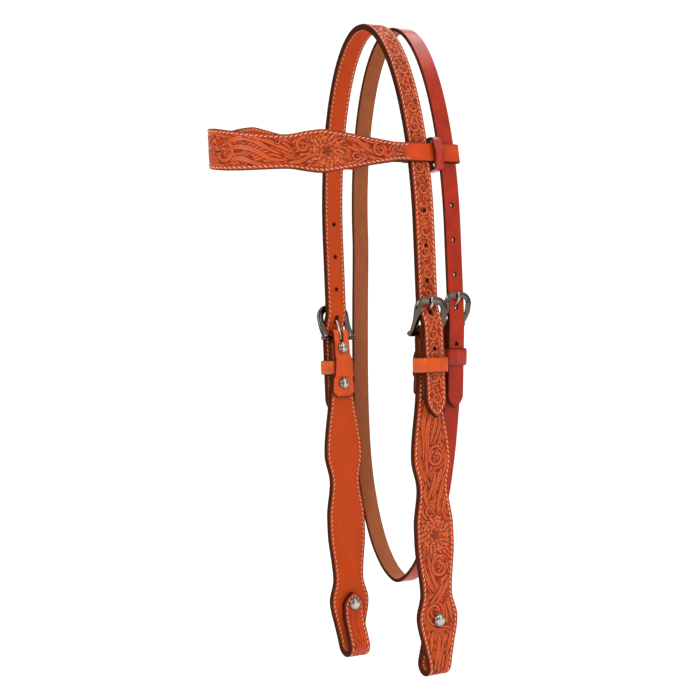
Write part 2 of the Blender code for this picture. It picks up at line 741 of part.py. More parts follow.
def chape():
    outer, inner = chape_screw_places()
    slot_half = CHAPE_FOLD * math.pi / 2 + BAR_RADIUS + 2 * TONGUE_RADIUS + 2 * CLEARANCE
    slot_width = TONGUE_RADIUS + CLEARANCE * 1.6
    holes = [(place, BARREL_HOLE, BARREL_HOLE) for place in outer + inner]
    holes.append((CHAPE_FOLD_PLACE, slot_half, slot_width))
    leg = CHAPE_LEG + CHAPE_FOLD * math.pi / 2
    outline = width_curve([
        (0, CHAPE_FOLD_WIDTH),
        (leg * 0.25, CHAPE_FOLD_WIDTH),
        (leg - CHAPE_LEG + KEEPER_DROP, CHAPE_KEEPER_WIDTH),
        (leg, CHAPE_END_WIDTH),
    ])
    stations = [CHAPE_FOLD_PLACE + side * leg * share
                for side in (-1, 1) for share in (0.35, 0.5, 0.65, 0.8, 0.9)]

    def build():
        return strap(CHAPE, 0, CHAPE.length, lambda p: outline(abs(p - CHAPE_FOLD_PLACE)),
                     -CHAPE_LEATHER / 2, CHAPE_LEATHER / 2, stations, holes)

    both_sides(leather, build, "buckle_chape", CHEEK_BAR)


def cheek_keeper():
    low = (-LAMINATE_HALF - CLEARANCE, -CHEEK_NECK_WIDTH / 2 - CLEARANCE)
    high = (BILLET_OFFSET + LAMINATE_HALF + CLEARANCE, CHEEK_NECK_WIDTH / 2 + CLEARANCE)
    centre = CHEEK_BAR - Z * KEEPER_DROP

    def build():
        return seated(ring(low, high, KEEPER_CORNER, KEEPER_LEATHER, KEEPER_WIDTH),
                      centre, X, Z)

    both_sides(leather, build, "cheek_keeper", centre)


# Two-part screws, which lie along X

def cap(centre, out, length, radius, dome):
    """The domed cap with its barrel: centre is under the dome, 'out' points out of it."""
    profile = [(0, dome + CAP_RIM)]
    for i in range(1, 4):
        angle = math.pi / 2 * i / 3
        profile.append((radius * math.sin(angle), CAP_RIM + dome * math.cos(angle)))
    profile += [(radius, 0), (BARREL_RADIUS, 0), (BARREL_RADIUS, -length),
                (BORE_RADIUS, -length), (BORE_RADIUS, -CLEARANCE), (0, -CLEARANCE)]
    return turned(profile, centre, out, SCREW_SIDES)


def flat_screw(centre, out, reach, radius):
    shank = BORE_RADIUS - CLEARANCE
    profile = [(0, SCREW_HEAD), (radius - SCREW_HEAD / 3, SCREW_HEAD),
               (radius, SCREW_HEAD * 2 / 3), (radius, 0), (shank, 0), (shank, -reach),
               (0, -reach)]
    return turned(profile, centre, out, SCREW_SIDES)


def domed_screw(centre, out, reach, radius, dome):
    shank = BORE_RADIUS - CLEARANCE
    profile = [(0, dome + CAP_RIM)]
    for i in range(1, 4):
        angle = math.pi / 2 * i / 3
        profile.append((radius * math.sin(angle), CAP_RIM + dome * math.cos(angle)))
    profile += [(radius, 0), (shank, 0), (shank, -reach), (0, -reach)]
    return turned(profile, centre, out, SCREW_SIDES)


def screws():
    face = CHAPE_OUTSIDE + CLEARANCE
    for name, drop in (("upper", FIRST_SCREW_DROP), ("lower", SECOND_SCREW_DROP)):
        place = CHEEK_BAR - Z * drop
        both_sides(metal, lambda: cap(place - X * face, -X, 2 * face - CLEARANCE, CAP_RADIUS,
                                      CAP_DOME), name + "_chape_screw_cap", place)
        both_sides(metal, lambda: flat_screw(place + X * face, X, SCREW_REACH,
                                             SCREW_HEAD_RADIUS), name + "_chape_screw", place)
    bit = CHEEK_BAR - Z * BIT_SCREW_DROP
    outside = LAMINATE_HALF + CLEARANCE
    inside = FLAP_OFFSET + LAMINATE_HALF + CLEARANCE
    both_sides(metal, lambda: cap(bit + X * outside, X, outside + inside - CLEARANCE,
                                  BIT_CAP_RADIUS, BIT_CAP_DOME), "bit_screw_cap", bit)
    both_sides(metal, lambda: domed_screw(bit - X * inside, -X, SCREW_REACH, BIT_CAP_RADIUS,
                                          BIT_CAP_DOME), "bit_screw", bit)


# Buckles: a cambered horseshoe frame with a round bar across its feet, and a curled tongue

def frame_route(bar, top_offset, camber_height, height):
    """How the frame's face leans out from the bar and then runs up beside the strap."""
    steps = 24
    points = []
    for i in range(steps + 1):
        share = i / steps
        points.append(bar + Z * camber_height * share
                      + X * top_offset * math.sin(share * math.pi / 2))
    foot = points[0] - (points[1] - points[0]).normalized() * height
    return Route([foot] + points + [points[-1] + Z * height], Y, TIGHT_STEP)


def buckle_frame(bar, half_opening, strip, thickness, height, corner, foot, top_offset,
                 camber_height, bar_radius, ball_radius, ball_reach):
    route = frame_route(bar, top_offset, camber_height, height)
    level = route.place_of(bar)
    rise = route.length - level - height + (height - camber_height)
    side = half_opening + strip / 2
    top = rise - strip / 2
    path = [(-foot, side, 0)]
    path += [((top - corner) * share, side, 0) for share in FRAME_SIDE_SHARES]
    for i in range(FRAME_CORNER_STEPS + 1):
        angle = math.pi / 2 * i / FRAME_CORNER_STEPS
        path.append((top - corner + corner * math.sin(angle),
                     side - corner + corner * math.cos(angle), angle))
    path += [(u, -v, math.pi - angle) for u, v, angle in reversed(path)]
    half, chamfer, deep = strip / 2, FRAME_CHAMFER, thickness / 2
    section = [(half, deep - chamfer), (half - chamfer, deep), (chamfer - half, deep),
               (-half, deep - chamfer), (-half, chamfer - deep), (chamfer - half, -deep),
               (half - chamfer, -deep), (half, chamfer - deep)]
    bm = bmesh.new()
    rows = []
    for u, v, angle in path:
        row = []
        for out, up in section:
            row.append(bm.verts.new((level + u + out * math.sin(angle),
                                     v + out * math.cos(angle), up)))
        rows.append(row)
    for a, b in zip(rows, rows[1:]):
        for i in range(len(section)):
            j = (i + 1) % len(section)
            bm.faces.new((a[i], a[j], b[j], b[i]))
    bm.faces.new(rows[0])
    bm.faces.new(reversed(rows[-1]))
    bmesh.ops.recalc_face_normals(bm, faces=bm.faces[:])
    bend(bm, route)
    reach = side + strip / 2 + ball_reach
    ball = reach - ball_radius
    profile = [(0, reach)]
    for i in range(1, 4):
        angle = math.pi / 2 * i / 3
        profile.append((ball_radius * math.sin(angle), ball + ball_radius * math.cos(angle)))
    neck = math.sqrt(ball_radius ** 2 - bar_radius ** 2)
    profile.append((bar_radius, ball - neck))
    profile += [(radius, -place) for radius, place in reversed(profile)]
    return bm, turned(profile, bar, Y, BAR_SIDES)


def united(bm, bar_bm, name, origin):
    """The frame with its bar, which are one casting."""
    frame = metal(bm, name, origin)
    bar = metal(bar_bm, name + "_bar_form", origin)
    bar.hide_render = True
    bar.display_type = "WIRE"
    union = frame.modifiers.new("bar", "BOOLEAN")
    union.operation = "UNION"
    union.solver = "EXACT"
    union.object = bar
    return frame


def tongue(path, wire_radius):
    """A round wire along the path, drawn out to a thinner tip."""
    line = Route(path, Y)
    bm = bmesh.new()
    rows = []
    for i, place in enumerate(line.places):
        centre, across, face = line.at(place)
        drawn = smooth(1 - (line.length - place) / (TONGUE_DRAWN_SHARE * line.length))
        radius = wire_radius + (TONGUE_TIP_RADIUS - wire_radius) * drawn
        row = []
        for k in range(TONGUE_SIDES):
            spin = 2 * math.pi * (k + 0.5) / TONGUE_SIDES
            row.append(bm.verts.new(centre + (across * math.cos(spin)
                                              + face * math.sin(spin)) * radius))
        rows.append(row)
    for a, b in zip(rows, rows[1:]):
        for i in range(TONGUE_SIDES):
            j = (i + 1) % TONGUE_SIDES
            bm.faces.new((a[i], a[j], b[j], b[i]))
    bm.faces.new(rows[0])
    bm.faces.new(reversed(rows[-1]))
    return bm


def cheek_buckles():
    half_opening = CROWN_WIDTH / 2 + FRAME_SIDE_PLAY
    for side in (1, -1):
        frame_bm, bar_bm = buckle_frame(
            CHEEK_BAR, half_opening, FRAME_STRIP, FRAME_THICKNESS, FRAME_HEIGHT, FRAME_CORNER,
            FRAME_FOOT, FRAME_TOP_OFFSET, FRAME_CAMBER_HEIGHT, BAR_RADIUS, BAR_BALL_RADIUS,
            BAR_BALL_REACH)
        origin = CHEEK_BAR
        name = "left_buckle_frame"
        if side < 0:
            frame_bm, bar_bm = mirrored(frame_bm), mirrored(bar_bm)
            origin = Vector((-origin.x, origin.y, origin.z))
            name = "right_buckle_frame"
        united(frame_bm, bar_bm, name, origin)
    both_sides(metal, lambda: tongue(TONGUE_PATH, TONGUE_RADIUS), "buckle_tongue", CHEEK_BAR)


# Throat latch: one strap, folded round its own buckle bar at the near side

THROAT_OUT = Vector((math.cos(THROAT_LEAN), 0, -math.sin(THROAT_LEAN)))
THROAT_DOWN = Vector((-math.sin(THROAT_LEAN), 0, -math.cos(THROAT_LEAN)))


def by_throat_bar(out, down):
    return THROAT_BAR + THROAT_OUT * out + THROAT_DOWN * down


def throat_route():
    """From the end of the return leg, over the bar, round the throat and over the poll."""
    turn_in = THROAT_FIRST_SCREW_DROP - BARREL_HOLE * 2
    points = [by_throat_bar(THROAT_RETURN, THROAT_LEG)]
    points += ease_points(by_throat_bar(THROAT_RETURN, turn_in),
                          by_throat_bar(-THROAT_FOLD, 0), THROAT_DOWN)
    steps = math.ceil(math.pi / FINE_STEP)
    for i in range(1, steps):
        angle = math.pi * (1 - i / steps)
        points.append(by_throat_bar(THROAT_FOLD * math.cos(angle), -THROAT_FOLD * math.sin(angle)))
    points.append(by_throat_bar(THROAT_FOLD, 0))
    leg_end = by_throat_bar(THROAT_FOLD, THROAT_LEG + THROAT_STRAIGHT)
    knots = [by_throat_bar(THROAT_FOLD, THROAT_LEG), leg_end]
    for span_share, depth_share in THROAT_LOOP_SHARES:
        knots.append(Vector((ARCH_HALF_SPAN * span_share, THROAT_SETBACK,
                             ARCH_CENTRE - THROAT_DEPTH * depth_share)))
    spring = Vector((-ARCH_HALF_SPAN, THROAT_SETBACK, ARCH_CENTRE))
    knots += [spring, spring + Z * THROAT_STRAIGHT * 5]
    points += through_points(knots, ROUTE_STEP)
    arch = arc_points(Vector((0, THROAT_SETBACK, ARCH_CENTRE)), ARCH_HALF_SPAN, ARCH_RISE,
                      math.pi, 0)
    points += arch[1:]
    lap = by_throat_bar(THROAT_LAP, 0)
    kink = Vector((ARCH_HALF_SPAN, THROAT_SETBACK, THROAT_BAR.z + THROAT_FRAME_CAMBER_HEIGHT))
    tip = by_throat_bar(THROAT_LAP, THROAT_TIP_DROP)
    side = (kink - lap).length / 3
    for i in range(13):
        t = i / 12
        b, c = kink - Z * side, lap - THROAT_DOWN * side
        points.append(kink * (1 - t) ** 3 + b * 3 * t * (1 - t) ** 2
                      + c * 3 * t * t * (1 - t) + lap * t ** 3)
    points.append(tip)
    return Route(points, Y)


THROAT = throat_route()


def throat_strap():
    tongue_slot = tongue_hole(THROAT, THROAT_TONGUE_PATH, THROAT_TONGUE_RADIUS, THROAT_LEATHER)
    holes = [tongue_slot]
    for k in range(-HOLES_BELOW_TONGUE, HOLES_ABOVE_TONGUE + 1):
        if k:
            holes.append((tongue_slot[0] - k * HOLE_PITCH, THROAT_HOLE_RADIUS,
                          THROAT_HOLE_RADIUS))
    fold = THROAT.place_of(by_throat_bar(0, -THROAT_FOLD))
    outer_bar = THROAT.place_of(by_throat_bar(THROAT_FOLD, 0))
    for drop in (THROAT_FIRST_SCREW_DROP, THROAT_SECOND_SCREW_DROP):
        holes.append((THROAT_LEG - drop, BARREL_HOLE, BARREL_HOLE))
        holes.append((outer_bar + drop, BARREL_HOLE, BARREL_HOLE))
    slot_half = (THROAT_FOLD * math.pi / 2 + THROAT_BAR_RADIUS + 2 * THROAT_TONGUE_RADIUS
                 + 2 * CLEARANCE)
    holes.append((fold, slot_half, THROAT_TONGUE_RADIUS + CLEARANCE * 1.6))
    tip = pointed(THROAT_WIDTH / 2, THROAT.length, THROAT_POINT, TIP_POWER)
    bm = strap(THROAT, 0, THROAT.length, tip, -THROAT_LEATHER / 2, THROAT_LEATHER / 2,
               tip_stations(THROAT.length, THROAT_POINT), holes)
    leather(bm, "throat_strap", throat_hinge(), LATIGO_RED)


def throat_hinge():
    return Vector((0, THROAT_SETBACK, (NEAR_LEVEL + FAR_LEVEL) / 2))


def throat_parts():
    throat_strap()
    half_opening = THROAT_WIDTH / 2 + THROAT_FRAME_SIDE_PLAY
    frame_bm, bar_bm = buckle_frame(
        THROAT_BAR, half_opening, THROAT_FRAME_STRIP, THROAT_FRAME_THICKNESS,
        THROAT_FRAME_HEIGHT, THROAT_FRAME_CORNER, THROAT_FRAME_FOOT, THROAT_TOP_OFFSET,
        THROAT_FRAME_CAMBER_HEIGHT, THROAT_BAR_RADIUS, THROAT_BALL_RADIUS, THROAT_BALL_REACH)
    united(frame_bm, bar_bm, "throat_buckle_frame", THROAT_BAR)
    metal(tongue(THROAT_TONGUE_PATH, THROAT_TONGUE_RADIUS), "throat_buckle_tongue", THROAT_BAR)
    half_width = THROAT_WIDTH / 2 + KEEPER_SIDE_PLAY
    low = (THROAT_FOLD - THROAT_LEATHER / 2 - CLEARANCE, -half_width)
    high = (THROAT_LAP + THROAT_LEATHER / 2 + CLEARANCE, half_width)
    centre = by_throat_bar(0, THROAT_KEEPER_DROP)
    keeper_bm = seated(ring(low, high, KEEPER_CORNER, KEEPER_LEATHER, THROAT_KEEPER_WIDTH),
                       centre, THROAT_OUT, -THROAT_DOWN)
    leather(keeper_bm, "throat_keeper", centre, LATIGO_RED)
    face = THROAT_FOLD + THROAT_LEATHER / 2 + CLEARANCE
    back = THROAT_RETURN - THROAT_LEATHER / 2 - CLEARANCE
    for name, drop in (("upper", THROAT_FIRST_SCREW_DROP), ("lower", THROAT_SECOND_SCREW_DROP)):
        under = by_throat_bar(back, drop)
        over = by_throat_bar(face, drop)
        metal(cap(under, -THROAT_OUT, face - back - CLEARANCE, THROAT_CAP_RADIUS, CAP_DOME),
              name + "_throat_screw_cap", under)
        metal(flat_screw(over, THROAT_OUT, SCREW_REACH, THROAT_HEAD_RADIUS),
              name + "_throat_screw", over)


# Browband: an ellipse in plan, whose tabs loop round both straps and return inside them

NEAR_LEVEL = -BROWBAND_DROP
FAR_LEVEL = NEAR_LEVEL + FAR_RISE


def strap_lean(level):
    """Half span and lean of the arched straps at a level."""
    share = (level - ARCH_CENTRE) / ARCH_RISE
    span = ARCH_HALF_SPAN * math.sqrt(1 - share * share)
    slope = ARCH_HALF_SPAN * share / (ARCH_RISE * math.sqrt(1 - share * share))
    return span, math.atan(slope)


def band_level(share):
    """The band's level, from the near strap (0) round the brow to the far one (1)."""
    ramp = (share - RISE_START_SHARE) / (RISE_END_SHARE - RISE_START_SHARE)
    return NEAR_LEVEL + FAR_RISE * smooth(ramp)


def band_line_out(level):
    """How far out the band's glue line lies beside the crown strap."""
    span, lean = strap_lean(level)
    return span + LAMINATE_HALF / math.cos(lean) + LOOP_PLAY - CLEARANCE / 2


def band_side(level, far):
    """From the brow's middle along one side: round both straps and back inside them."""
    span, lean = strap_lean(level)
    throat_half = THROAT_LEATHER / 2 / math.cos(lean) + LOOP_PLAY
    lone = CLEARANCE / 2
    line_out = band_line_out(level)
    throat_out = span + throat_half - lone
    throat_back = span - throat_half + lone
    crown_back = 2 * span - line_out
    crown_edge = CROWN_WIDTH / 2
    throat_front = THROAT_SETBACK - THROAT_WIDTH / 2
    throat_rear = THROAT_SETBACK + THROAT_WIDTH / 2 + LOOP_END_PLAY - throat_half
    quarter = math.pi / 2
    points = []
    steps = math.ceil(quarter / FINE_STEP * 2)
    for i in range(steps + 1):
        turn = i / steps
        share = (1 + turn) / 2 if far else (1 - turn) / 2
        points.append(Vector((line_out * math.sin(quarter * turn),
                              -BROWBAND_REACH * math.cos(quarter * turn), band_level(share))))
    points += ease_points(Vector((line_out, crown_edge, level)),
                          Vector((throat_out, throat_front, level)), Y)
    count = math.ceil(math.pi / FINE_STEP)
    radius = (throat_out - throat_back) / 2
    for i in range(count + 1):
        angle = quarter - math.pi * i / count
        points.append(Vector((span + radius * math.sin(angle),
                              throat_rear + radius * math.cos(angle), level)))
    points += ease_points(Vector((throat_back, throat_front, level)),
                          Vector((crown_back, crown_edge, level)), -Y)
    lap = []
    for ahead in steps_between(0, RETURN_LAP, RETURN_LAP / 5):
        place = -crown_edge - LINING_SETBACK - RETURN_STEP / 2 - ahead
        out = line_out * math.sqrt(1 - (place / BROWBAND_REACH) ** 2)
        lap.append(Vector((out - LAMINATE_HALF - CLEARANCE + lone, place, level)))
    points += ease_points(Vector((crown_back, -crown_edge - CLEARANCE, level)), lap[0], -Y)
    return points + lap[1:]


def browband_route():
    """The glue line for the band, and the lone outer layer's middle line for the loops."""
    near = band_side(NEAR_LEVEL, far=False)
    far = [Vector((-p.x, p.y, p.z)) for p in reversed(band_side(FAR_LEVEL, far=True))]

    def across(point):
        """Upright at the brow, leaning with the straps where the band meets them."""
        lean = strap_lean(NEAR_LEVEL if point.x > 0 else FAR_LEVEL)[1]
        lean *= 1 - smooth((-CROWN_WIDTH / 2 - point.y) / BROWBAND_LEAN_RUN)
        return Vector((-math.sin(math.copysign(lean, point.x)), 0, math.cos(lean)))

    return Route(far + near[1:], across)


BROWBAND = browband_route()
FAR_START = BROWBAND.place_of(Vector((-band_line_out(FAR_LEVEL), 0, FAR_LEVEL)))
NEAR_START = BROWBAND.place_of(Vector((band_line_out(NEAR_LEVEL), 0, NEAR_LEVEL)))


def browband_half_width(place):
    outline = width_curve([
        (0, TAB_WIDTH),
        (TAB_END, TAB_WIDTH),
        (BROWBAND_TAPER_START, BROWBAND_TAPER_START_WIDTH),
        (BROWBAND_TAPER_END, BROWBAND_TAPER_END_WIDTH),
        (BROWBAND_HUMP, BROWBAND_HUMP_WIDTH),
        (BROWBAND_HUMP_END, BROWBAND_HUMP_END_WIDTH),
        (BROWBAND_WAIST, BROWBAND_WAIST_WIDTH),
        ((NEAR_START - FAR_START) / 2, BROWBAND_MIDDLE_WIDTH),
    ])
    return outline(min(place - FAR_START, NEAR_START - place))


def browband():
    origin = Vector((0, 0, (NEAR_LEVEL + FAR_LEVEL) / 2))
    inset = CROWN_WIDTH / 2 + LINING_SETBACK
    start, end = FAR_START + inset, NEAR_START - inset
    stations = steps_between(start, end, OUTLINE_STEP)
    for place in (BROWBAND_HUMP, BROWBAND_WAIST):
        stations += [FAR_START + place, NEAR_START - place]
    laps = steps_between(0, RETURN_LAP, RETURN_LAP / 4)
    stations += laps + [BROWBAND.length - place for place in laps]
    lone = CLEARANCE / 2
    outer = strap(BROWBAND, 0, BROWBAND.length, browband_half_width, lone,
                  lone + STRAP_LEATHER, stations)
    leather(outer, "browband_outer", origin)
    lining = strap(BROWBAND, start, end, browband_half_width, -lone - STRAP_LEATHER, -lone,
                   stations)
    leather(lining, "browband_lining", origin, LINING_TAN)


def browband_rings():
    gap_middle = (CROWN_WIDTH / 2 + THROAT_SETBACK - THROAT_WIDTH / 2) / 2
    for name, level in (("left", NEAR_LEVEL), ("right", FAR_LEVEL)):
        span, lean = strap_lean(level)
        depth = STRAP_LEATHER + RING_PLAY + LOOP_PLAY + LAMINATE_HALF / math.cos(lean)
        low = (-depth, -TAB_WIDTH / 2 - RING_DROP_PLAY)
        high = (depth, TAB_WIDTH / 2 + RING_RISE_PLAY)
        centre = Vector((span, gap_middle, level))
        out = Vector((math.cos(lean), 0, math.sin(lean)))
        bm = seated(ring(low, high, RING_CORNER, RING_LEATHER, RING_WIDTH), centre, out, -Y)
        if name == "right":
            bm = mirrored(bm)
            centre.x = -centre.x
        leather(bm, name + "_browband_keeper", centre, LATIGO_RED)


# The build

for old in list(bpy.data.objects):
    bpy.data.objects.remove(old, do_unlink=True)

crown_layer("crown_outer", CLEARANCE / 2, CLEARANCE / 2 + STRAP_LEATHER, SADDLE_TAN)
crown_layer("crown_lining", -CLEARANCE / 2 - STRAP_LEATHER, -CLEARANCE / 2, LINING_TAN)
cheek_layer("cheek_outer", CLEARANCE / 2, CLEARANCE / 2 + STRAP_LEATHER, SADDLE_TAN)
cheek_layer("cheek_lining", -CLEARANCE / 2 - STRAP_LEATHER, -CLEARANCE / 2, LINING_TAN)
chape()
cheek_keeper()
screws()
cheek_buckles()
throat_parts()
browband()
browband_rings()
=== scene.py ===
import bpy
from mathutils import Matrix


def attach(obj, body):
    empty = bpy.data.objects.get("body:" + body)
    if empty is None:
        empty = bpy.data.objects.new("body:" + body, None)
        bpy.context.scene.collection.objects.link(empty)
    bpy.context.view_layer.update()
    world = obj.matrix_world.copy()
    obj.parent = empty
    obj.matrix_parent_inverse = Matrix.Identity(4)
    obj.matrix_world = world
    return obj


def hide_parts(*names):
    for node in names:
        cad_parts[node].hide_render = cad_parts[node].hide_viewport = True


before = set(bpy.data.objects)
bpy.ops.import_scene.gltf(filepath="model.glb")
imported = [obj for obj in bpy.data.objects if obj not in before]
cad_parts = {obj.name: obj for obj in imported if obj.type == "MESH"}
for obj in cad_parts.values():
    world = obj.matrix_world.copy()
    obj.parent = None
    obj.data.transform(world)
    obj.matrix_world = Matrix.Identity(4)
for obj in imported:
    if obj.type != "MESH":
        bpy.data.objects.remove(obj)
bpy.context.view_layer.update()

import math

import bmesh
import bpy
import numpy as np
from mathutils import Matrix, Vector

scene = bpy.context.scene
scene.view_settings.view_transform = "Standard"

# small tools shared by every piece


def linearColour(hexColour):
    # sRGB to linear light
    values = [int(hexColour[i:i + 2], 16) / 255 for i in (1, 3, 5)]
    return [v / 12.92 if v <= 0.04045 else ((v + 0.055) / 1.055) ** 2.4 for v in values] + [1.0]


def addNode(tree, kind, settings=None, inputs=None):
    node = tree.nodes.new(kind)
    for key, value in (settings or {}).items():
        setattr(node, key, value)
    for key, value in (inputs or {}).items():
        if isinstance(value, bpy.types.NodeSocket):
            tree.links.new(value, node.inputs[key])
        else:
            node.inputs[key].default_value = value
    return node


def newMaterial(name):
    material = bpy.data.materials.new(name)
    material.use_nodes = True
    return material, material.node_tree, material.node_tree.nodes["Principled BSDF"]


def meshFrom(bm, name):
    mesh = bpy.data.meshes.new(name)
    bm.to_mesh(mesh)
    bm.free()
    return mesh


def faceOutwards(bm):
    bmesh.ops.recalc_face_normals(bm, faces=bm.faces[:])
    if bm.calc_volume(signed=True) < 0:
        bmesh.ops.reverse_faces(bm, faces=bm.faces[:])


def smoothMesh(mesh, degrees):
    mesh.shade_smooth()
    mesh.set_sharp_from_angle(angle=math.radians(degrees))


def setAttribute(mesh, name, kind, field, values):
    attribute = mesh.attributes.new(name, kind, "POINT")
    attribute.data.foreach_set(field, values.astype(np.float32).ravel())


# camera at the photograph's viewing angle

cameraView = {
    "turn": math.radians(57), "roll": math.radians(2.3), "distance": 1.42,
    "sideways": 0.0264, "height": -0.270, "lens": 85.9, "sensor": 36,
}


def placeCamera():
    view = cameraView
    s, c = math.sin(view["turn"]), math.cos(view["turn"])
    level, up = Vector((c, s, 0)), Vector((0, 0, 1))
    right = level * math.cos(view["roll"]) - up * math.sin(view["roll"])
    above = up * math.cos(view["roll"]) + level * math.sin(view["roll"])
    spot = Vector((s, -c, 0)) * view["distance"] - level * view["sideways"]
    spot.z = view["height"]
    data = bpy.data.cameras.new("photoCamera")
    data.lens, data.sensor_width, data.clip_start = view["lens"], view["sensor"], 0.01
    camera = bpy.data.objects.new("photoCamera", data)
    camera.matrix_world = (Matrix.Translation(spot)
                           @ Matrix((right, above, right.cross(above))).transposed().to_4x4())
    scene.collection.objects.link(camera)
    scene.camera = camera


placeCamera()
print("camera placed")

# pale studio: a floor that sweeps up into a backdrop, and soft lights

studio = {
    "floorLevel": -0.62, "reach": 2.4, "sweep": 0.9, "height": 2.6, "steps": 16, 
    "floorColour": "#fbfaf8",
    "paperRoughness": 0.95, "worldColour": "#ffffff", "wallStrength": 0.34,
    "ceilingStrength": 0.98, "horizon": 0.05, "ceiling": 0.6,
    # name: (place, aim, width, height, watts)
    "lights": {
        "keySoftbox": ((0.62, -1.35, 0.35), (0, 0, -0.25), 0.35, 0.9, 8.8),
        "stripSoftbox": ((1.10, 0.69, -0.10), (0, 0, -0.25), 0.035, 1.1, 0.9),
        "rimSoftbox": ((1.25, 0.15, 0.25), (0, 0, -0.25), 0.14, 0.3, 1.5),
        "topSoftbox": ((0.05, 0.65, 0.85), (0, 0, -0.24), 0.9, 0.14, 2.8),
        "backSoftbox": ((-0.9, 1.0, 0.5), (0, 0, -0.25), 0.5, 0.8, 2.2),
        "backdropSoftbox": ((-1.1, 0.75, 1.5), (-2.6, 1.7, 0.3), 2.2, 0.6, 22),
    },
}


def buildStudio():
    bm = bmesh.new()
    low, reach, radius = studio["floorLevel"], studio["reach"], studio["sweep"]
    profile = [Vector((0, -reach, low)), Vector((0, reach, low))]
    for i in range(studio["steps"]):
        angle = math.pi / 2 * (i + 1) / studio["steps"]
        profile.append(Vector((0, reach + radius * math.sin(angle),
                               low + radius * (1 - math.cos(angle)))))
    profile.append(profile[-1] + Vector((0, 0, studio["height"])))
    turn = Matrix.Rotation(cameraView["turn"], 4, "Z")
    verts = [bm.verts.new(turn @ (p - Vector((reach * 2, 0, 0)))) for p in profile]
    edges = [bm.edges.new(pair) for pair in zip(verts, verts[1:])]
    grown = bmesh.ops.extrude_edge_only(bm, edges=edges)
    moved = [g for g in grown["geom"] if isinstance(g, bmesh.types.BMVert)]
    bmesh.ops.translate(bm, verts=moved, vec=turn @ Vector((reach * 4, 0, 0)))
    bmesh.ops.recalc_face_normals(bm, faces=bm.faces[:])
    mesh = meshFrom(bm, "studioFloor")
    mesh.shade_smooth()
    material, _, shader = newMaterial("paintedPaperSweep")
    shader.inputs["Base Color"].default_value = linearColour(studio["floorColour"])
    shader.inputs["Roughness"].default_value = studio["paperRoughness"]
    mesh.materials.append(material)
    floor = bpy.data.objects.new("studioFloor", mesh)
    scene.collection.objects.link(floor)
    world = bpy.data.worlds.new("studioWorld")
    world.use_nodes = True
    background = world.node_tree.nodes["Background"]
    background.inputs["Color"].default_value = linearColour(studio["worldColour"])
    # a bright ceiling over dim walls, so that rounded metal shows light and dark
    direction = addNode(world.node_tree, "ShaderNodeTexCoord")
    split = addNode(world.node_tree, "ShaderNodeSeparateXYZ", inputs={
        "Vector": direction.outputs["Generated"]})
    ceiling = addNode(world.node_tree, "ShaderNodeMapRange", {
        "interpolation_type": "SMOOTHSTEP"}, {
        "Value": split.outputs["Z"], "From Min": studio["horizon"],
        "From Max": studio["ceiling"], "To Min": studio["wallStrength"],
        "To Max": studio["ceilingStrength"]})
    world.node_tree.links.new(ceiling.outputs["Result"], background.inputs["Strength"])
    scene.world = world
    for name, (place, aim, width, height, watts) in studio["lights"].items():
        data = bpy.data.lights.new(name, "AREA")
        data.shape, data.size, data.size_y, data.energy = "RECTANGLE", width, height, watts
        light = bpy.data.objects.new(name, data)
        light.location = place
        light.rotation_mode = "QUATERNION"
        light.rotation_quaternion = (Vector(aim) - Vector(place)).to_track_quat("-Z", "Y")
        scene.collection.objects.link(light)


buildStudio()
print("studio built")

# leather and metal finishes


def mixed(tree, factor, first, second, blend="MIX"):
    node = addNode(tree, "ShaderNodeMix", {"data_type": "RGBA", "blend_type": blend}, {
        "Factor": factor, 6: first, 7: second})
    return node.outputs[2]


def remapped(tree, value, low, high, start=0.0, end=1.0):
    node = addNode(tree, "ShaderNodeMapRange", inputs={
        "Value": value, "From Min": start, "From Max": end, "To Min": low, "To Max": high})
    return node.outputs["Result"]


def maths(tree, operation, *values, clamp=False):
    node = addNode(tree, "ShaderNodeMath", {"operation": operation, "use_clamp": clamp},
                   dict(enumerate(values)))
    return node.outputs["Value"]


def noisy(tree, coords, size, detail, roughness=0.5):
    node = addNode(tree, "ShaderNodeTexNoise", inputs={
        "Vector": coords, "Scale": 1 / size, "Detail": detail, "Roughness": roughness})
    return node.outputs["Fac"]


def pebbled(tree, coords, size):
    node = addNode(tree, "ShaderNodeTexVoronoi", inputs={"Vector": coords, "Scale": 1 / size})
    return node.outputs["Distance"]


def bumped(tree, height, strength, depth, under=None):
    inputs = {"Strength": strength, "Distance": depth, "Height": height}
    if under is not None:
        inputs["Normal"] = under
    return addNode(tree, "ShaderNodeBump", inputs=inputs).outputs["Normal"]


# what all the leathers share: pattern sizes and depths in metres, tones and strengths
hide = {
    "cloud": 0.018, "cloudTones": (0.74, 1.16), "fibreLong": 0.014, "fibreWide": 0.002,
    "pore": 0.0009, "crease": 0.0035, "grainDepth": 0.0002, "bead": 0.0011,
    # the ridges' light tone: partly polishing wear, partly a painted highlight
    "beadDepth": 0.0003, "groundDye": 0.55, "rubbedAndHighlight": "#e2703e", "burnished": "#3f1c10",
    "glossRange": (-0.06, 0.10), "fleshDull": 0.4, "groundDull": 0.3, "rubbedShine": -0.14,
    "specular": (0.15, 0.03), "glazeRoughness": 0.16, "creaseShare": 0.4, "grainBump": 0.25,
    "beadBump": 0.5,
}
# noise values between these are spread over a pattern's whole range of tones
noiseSpan = (0.3, 0.7)


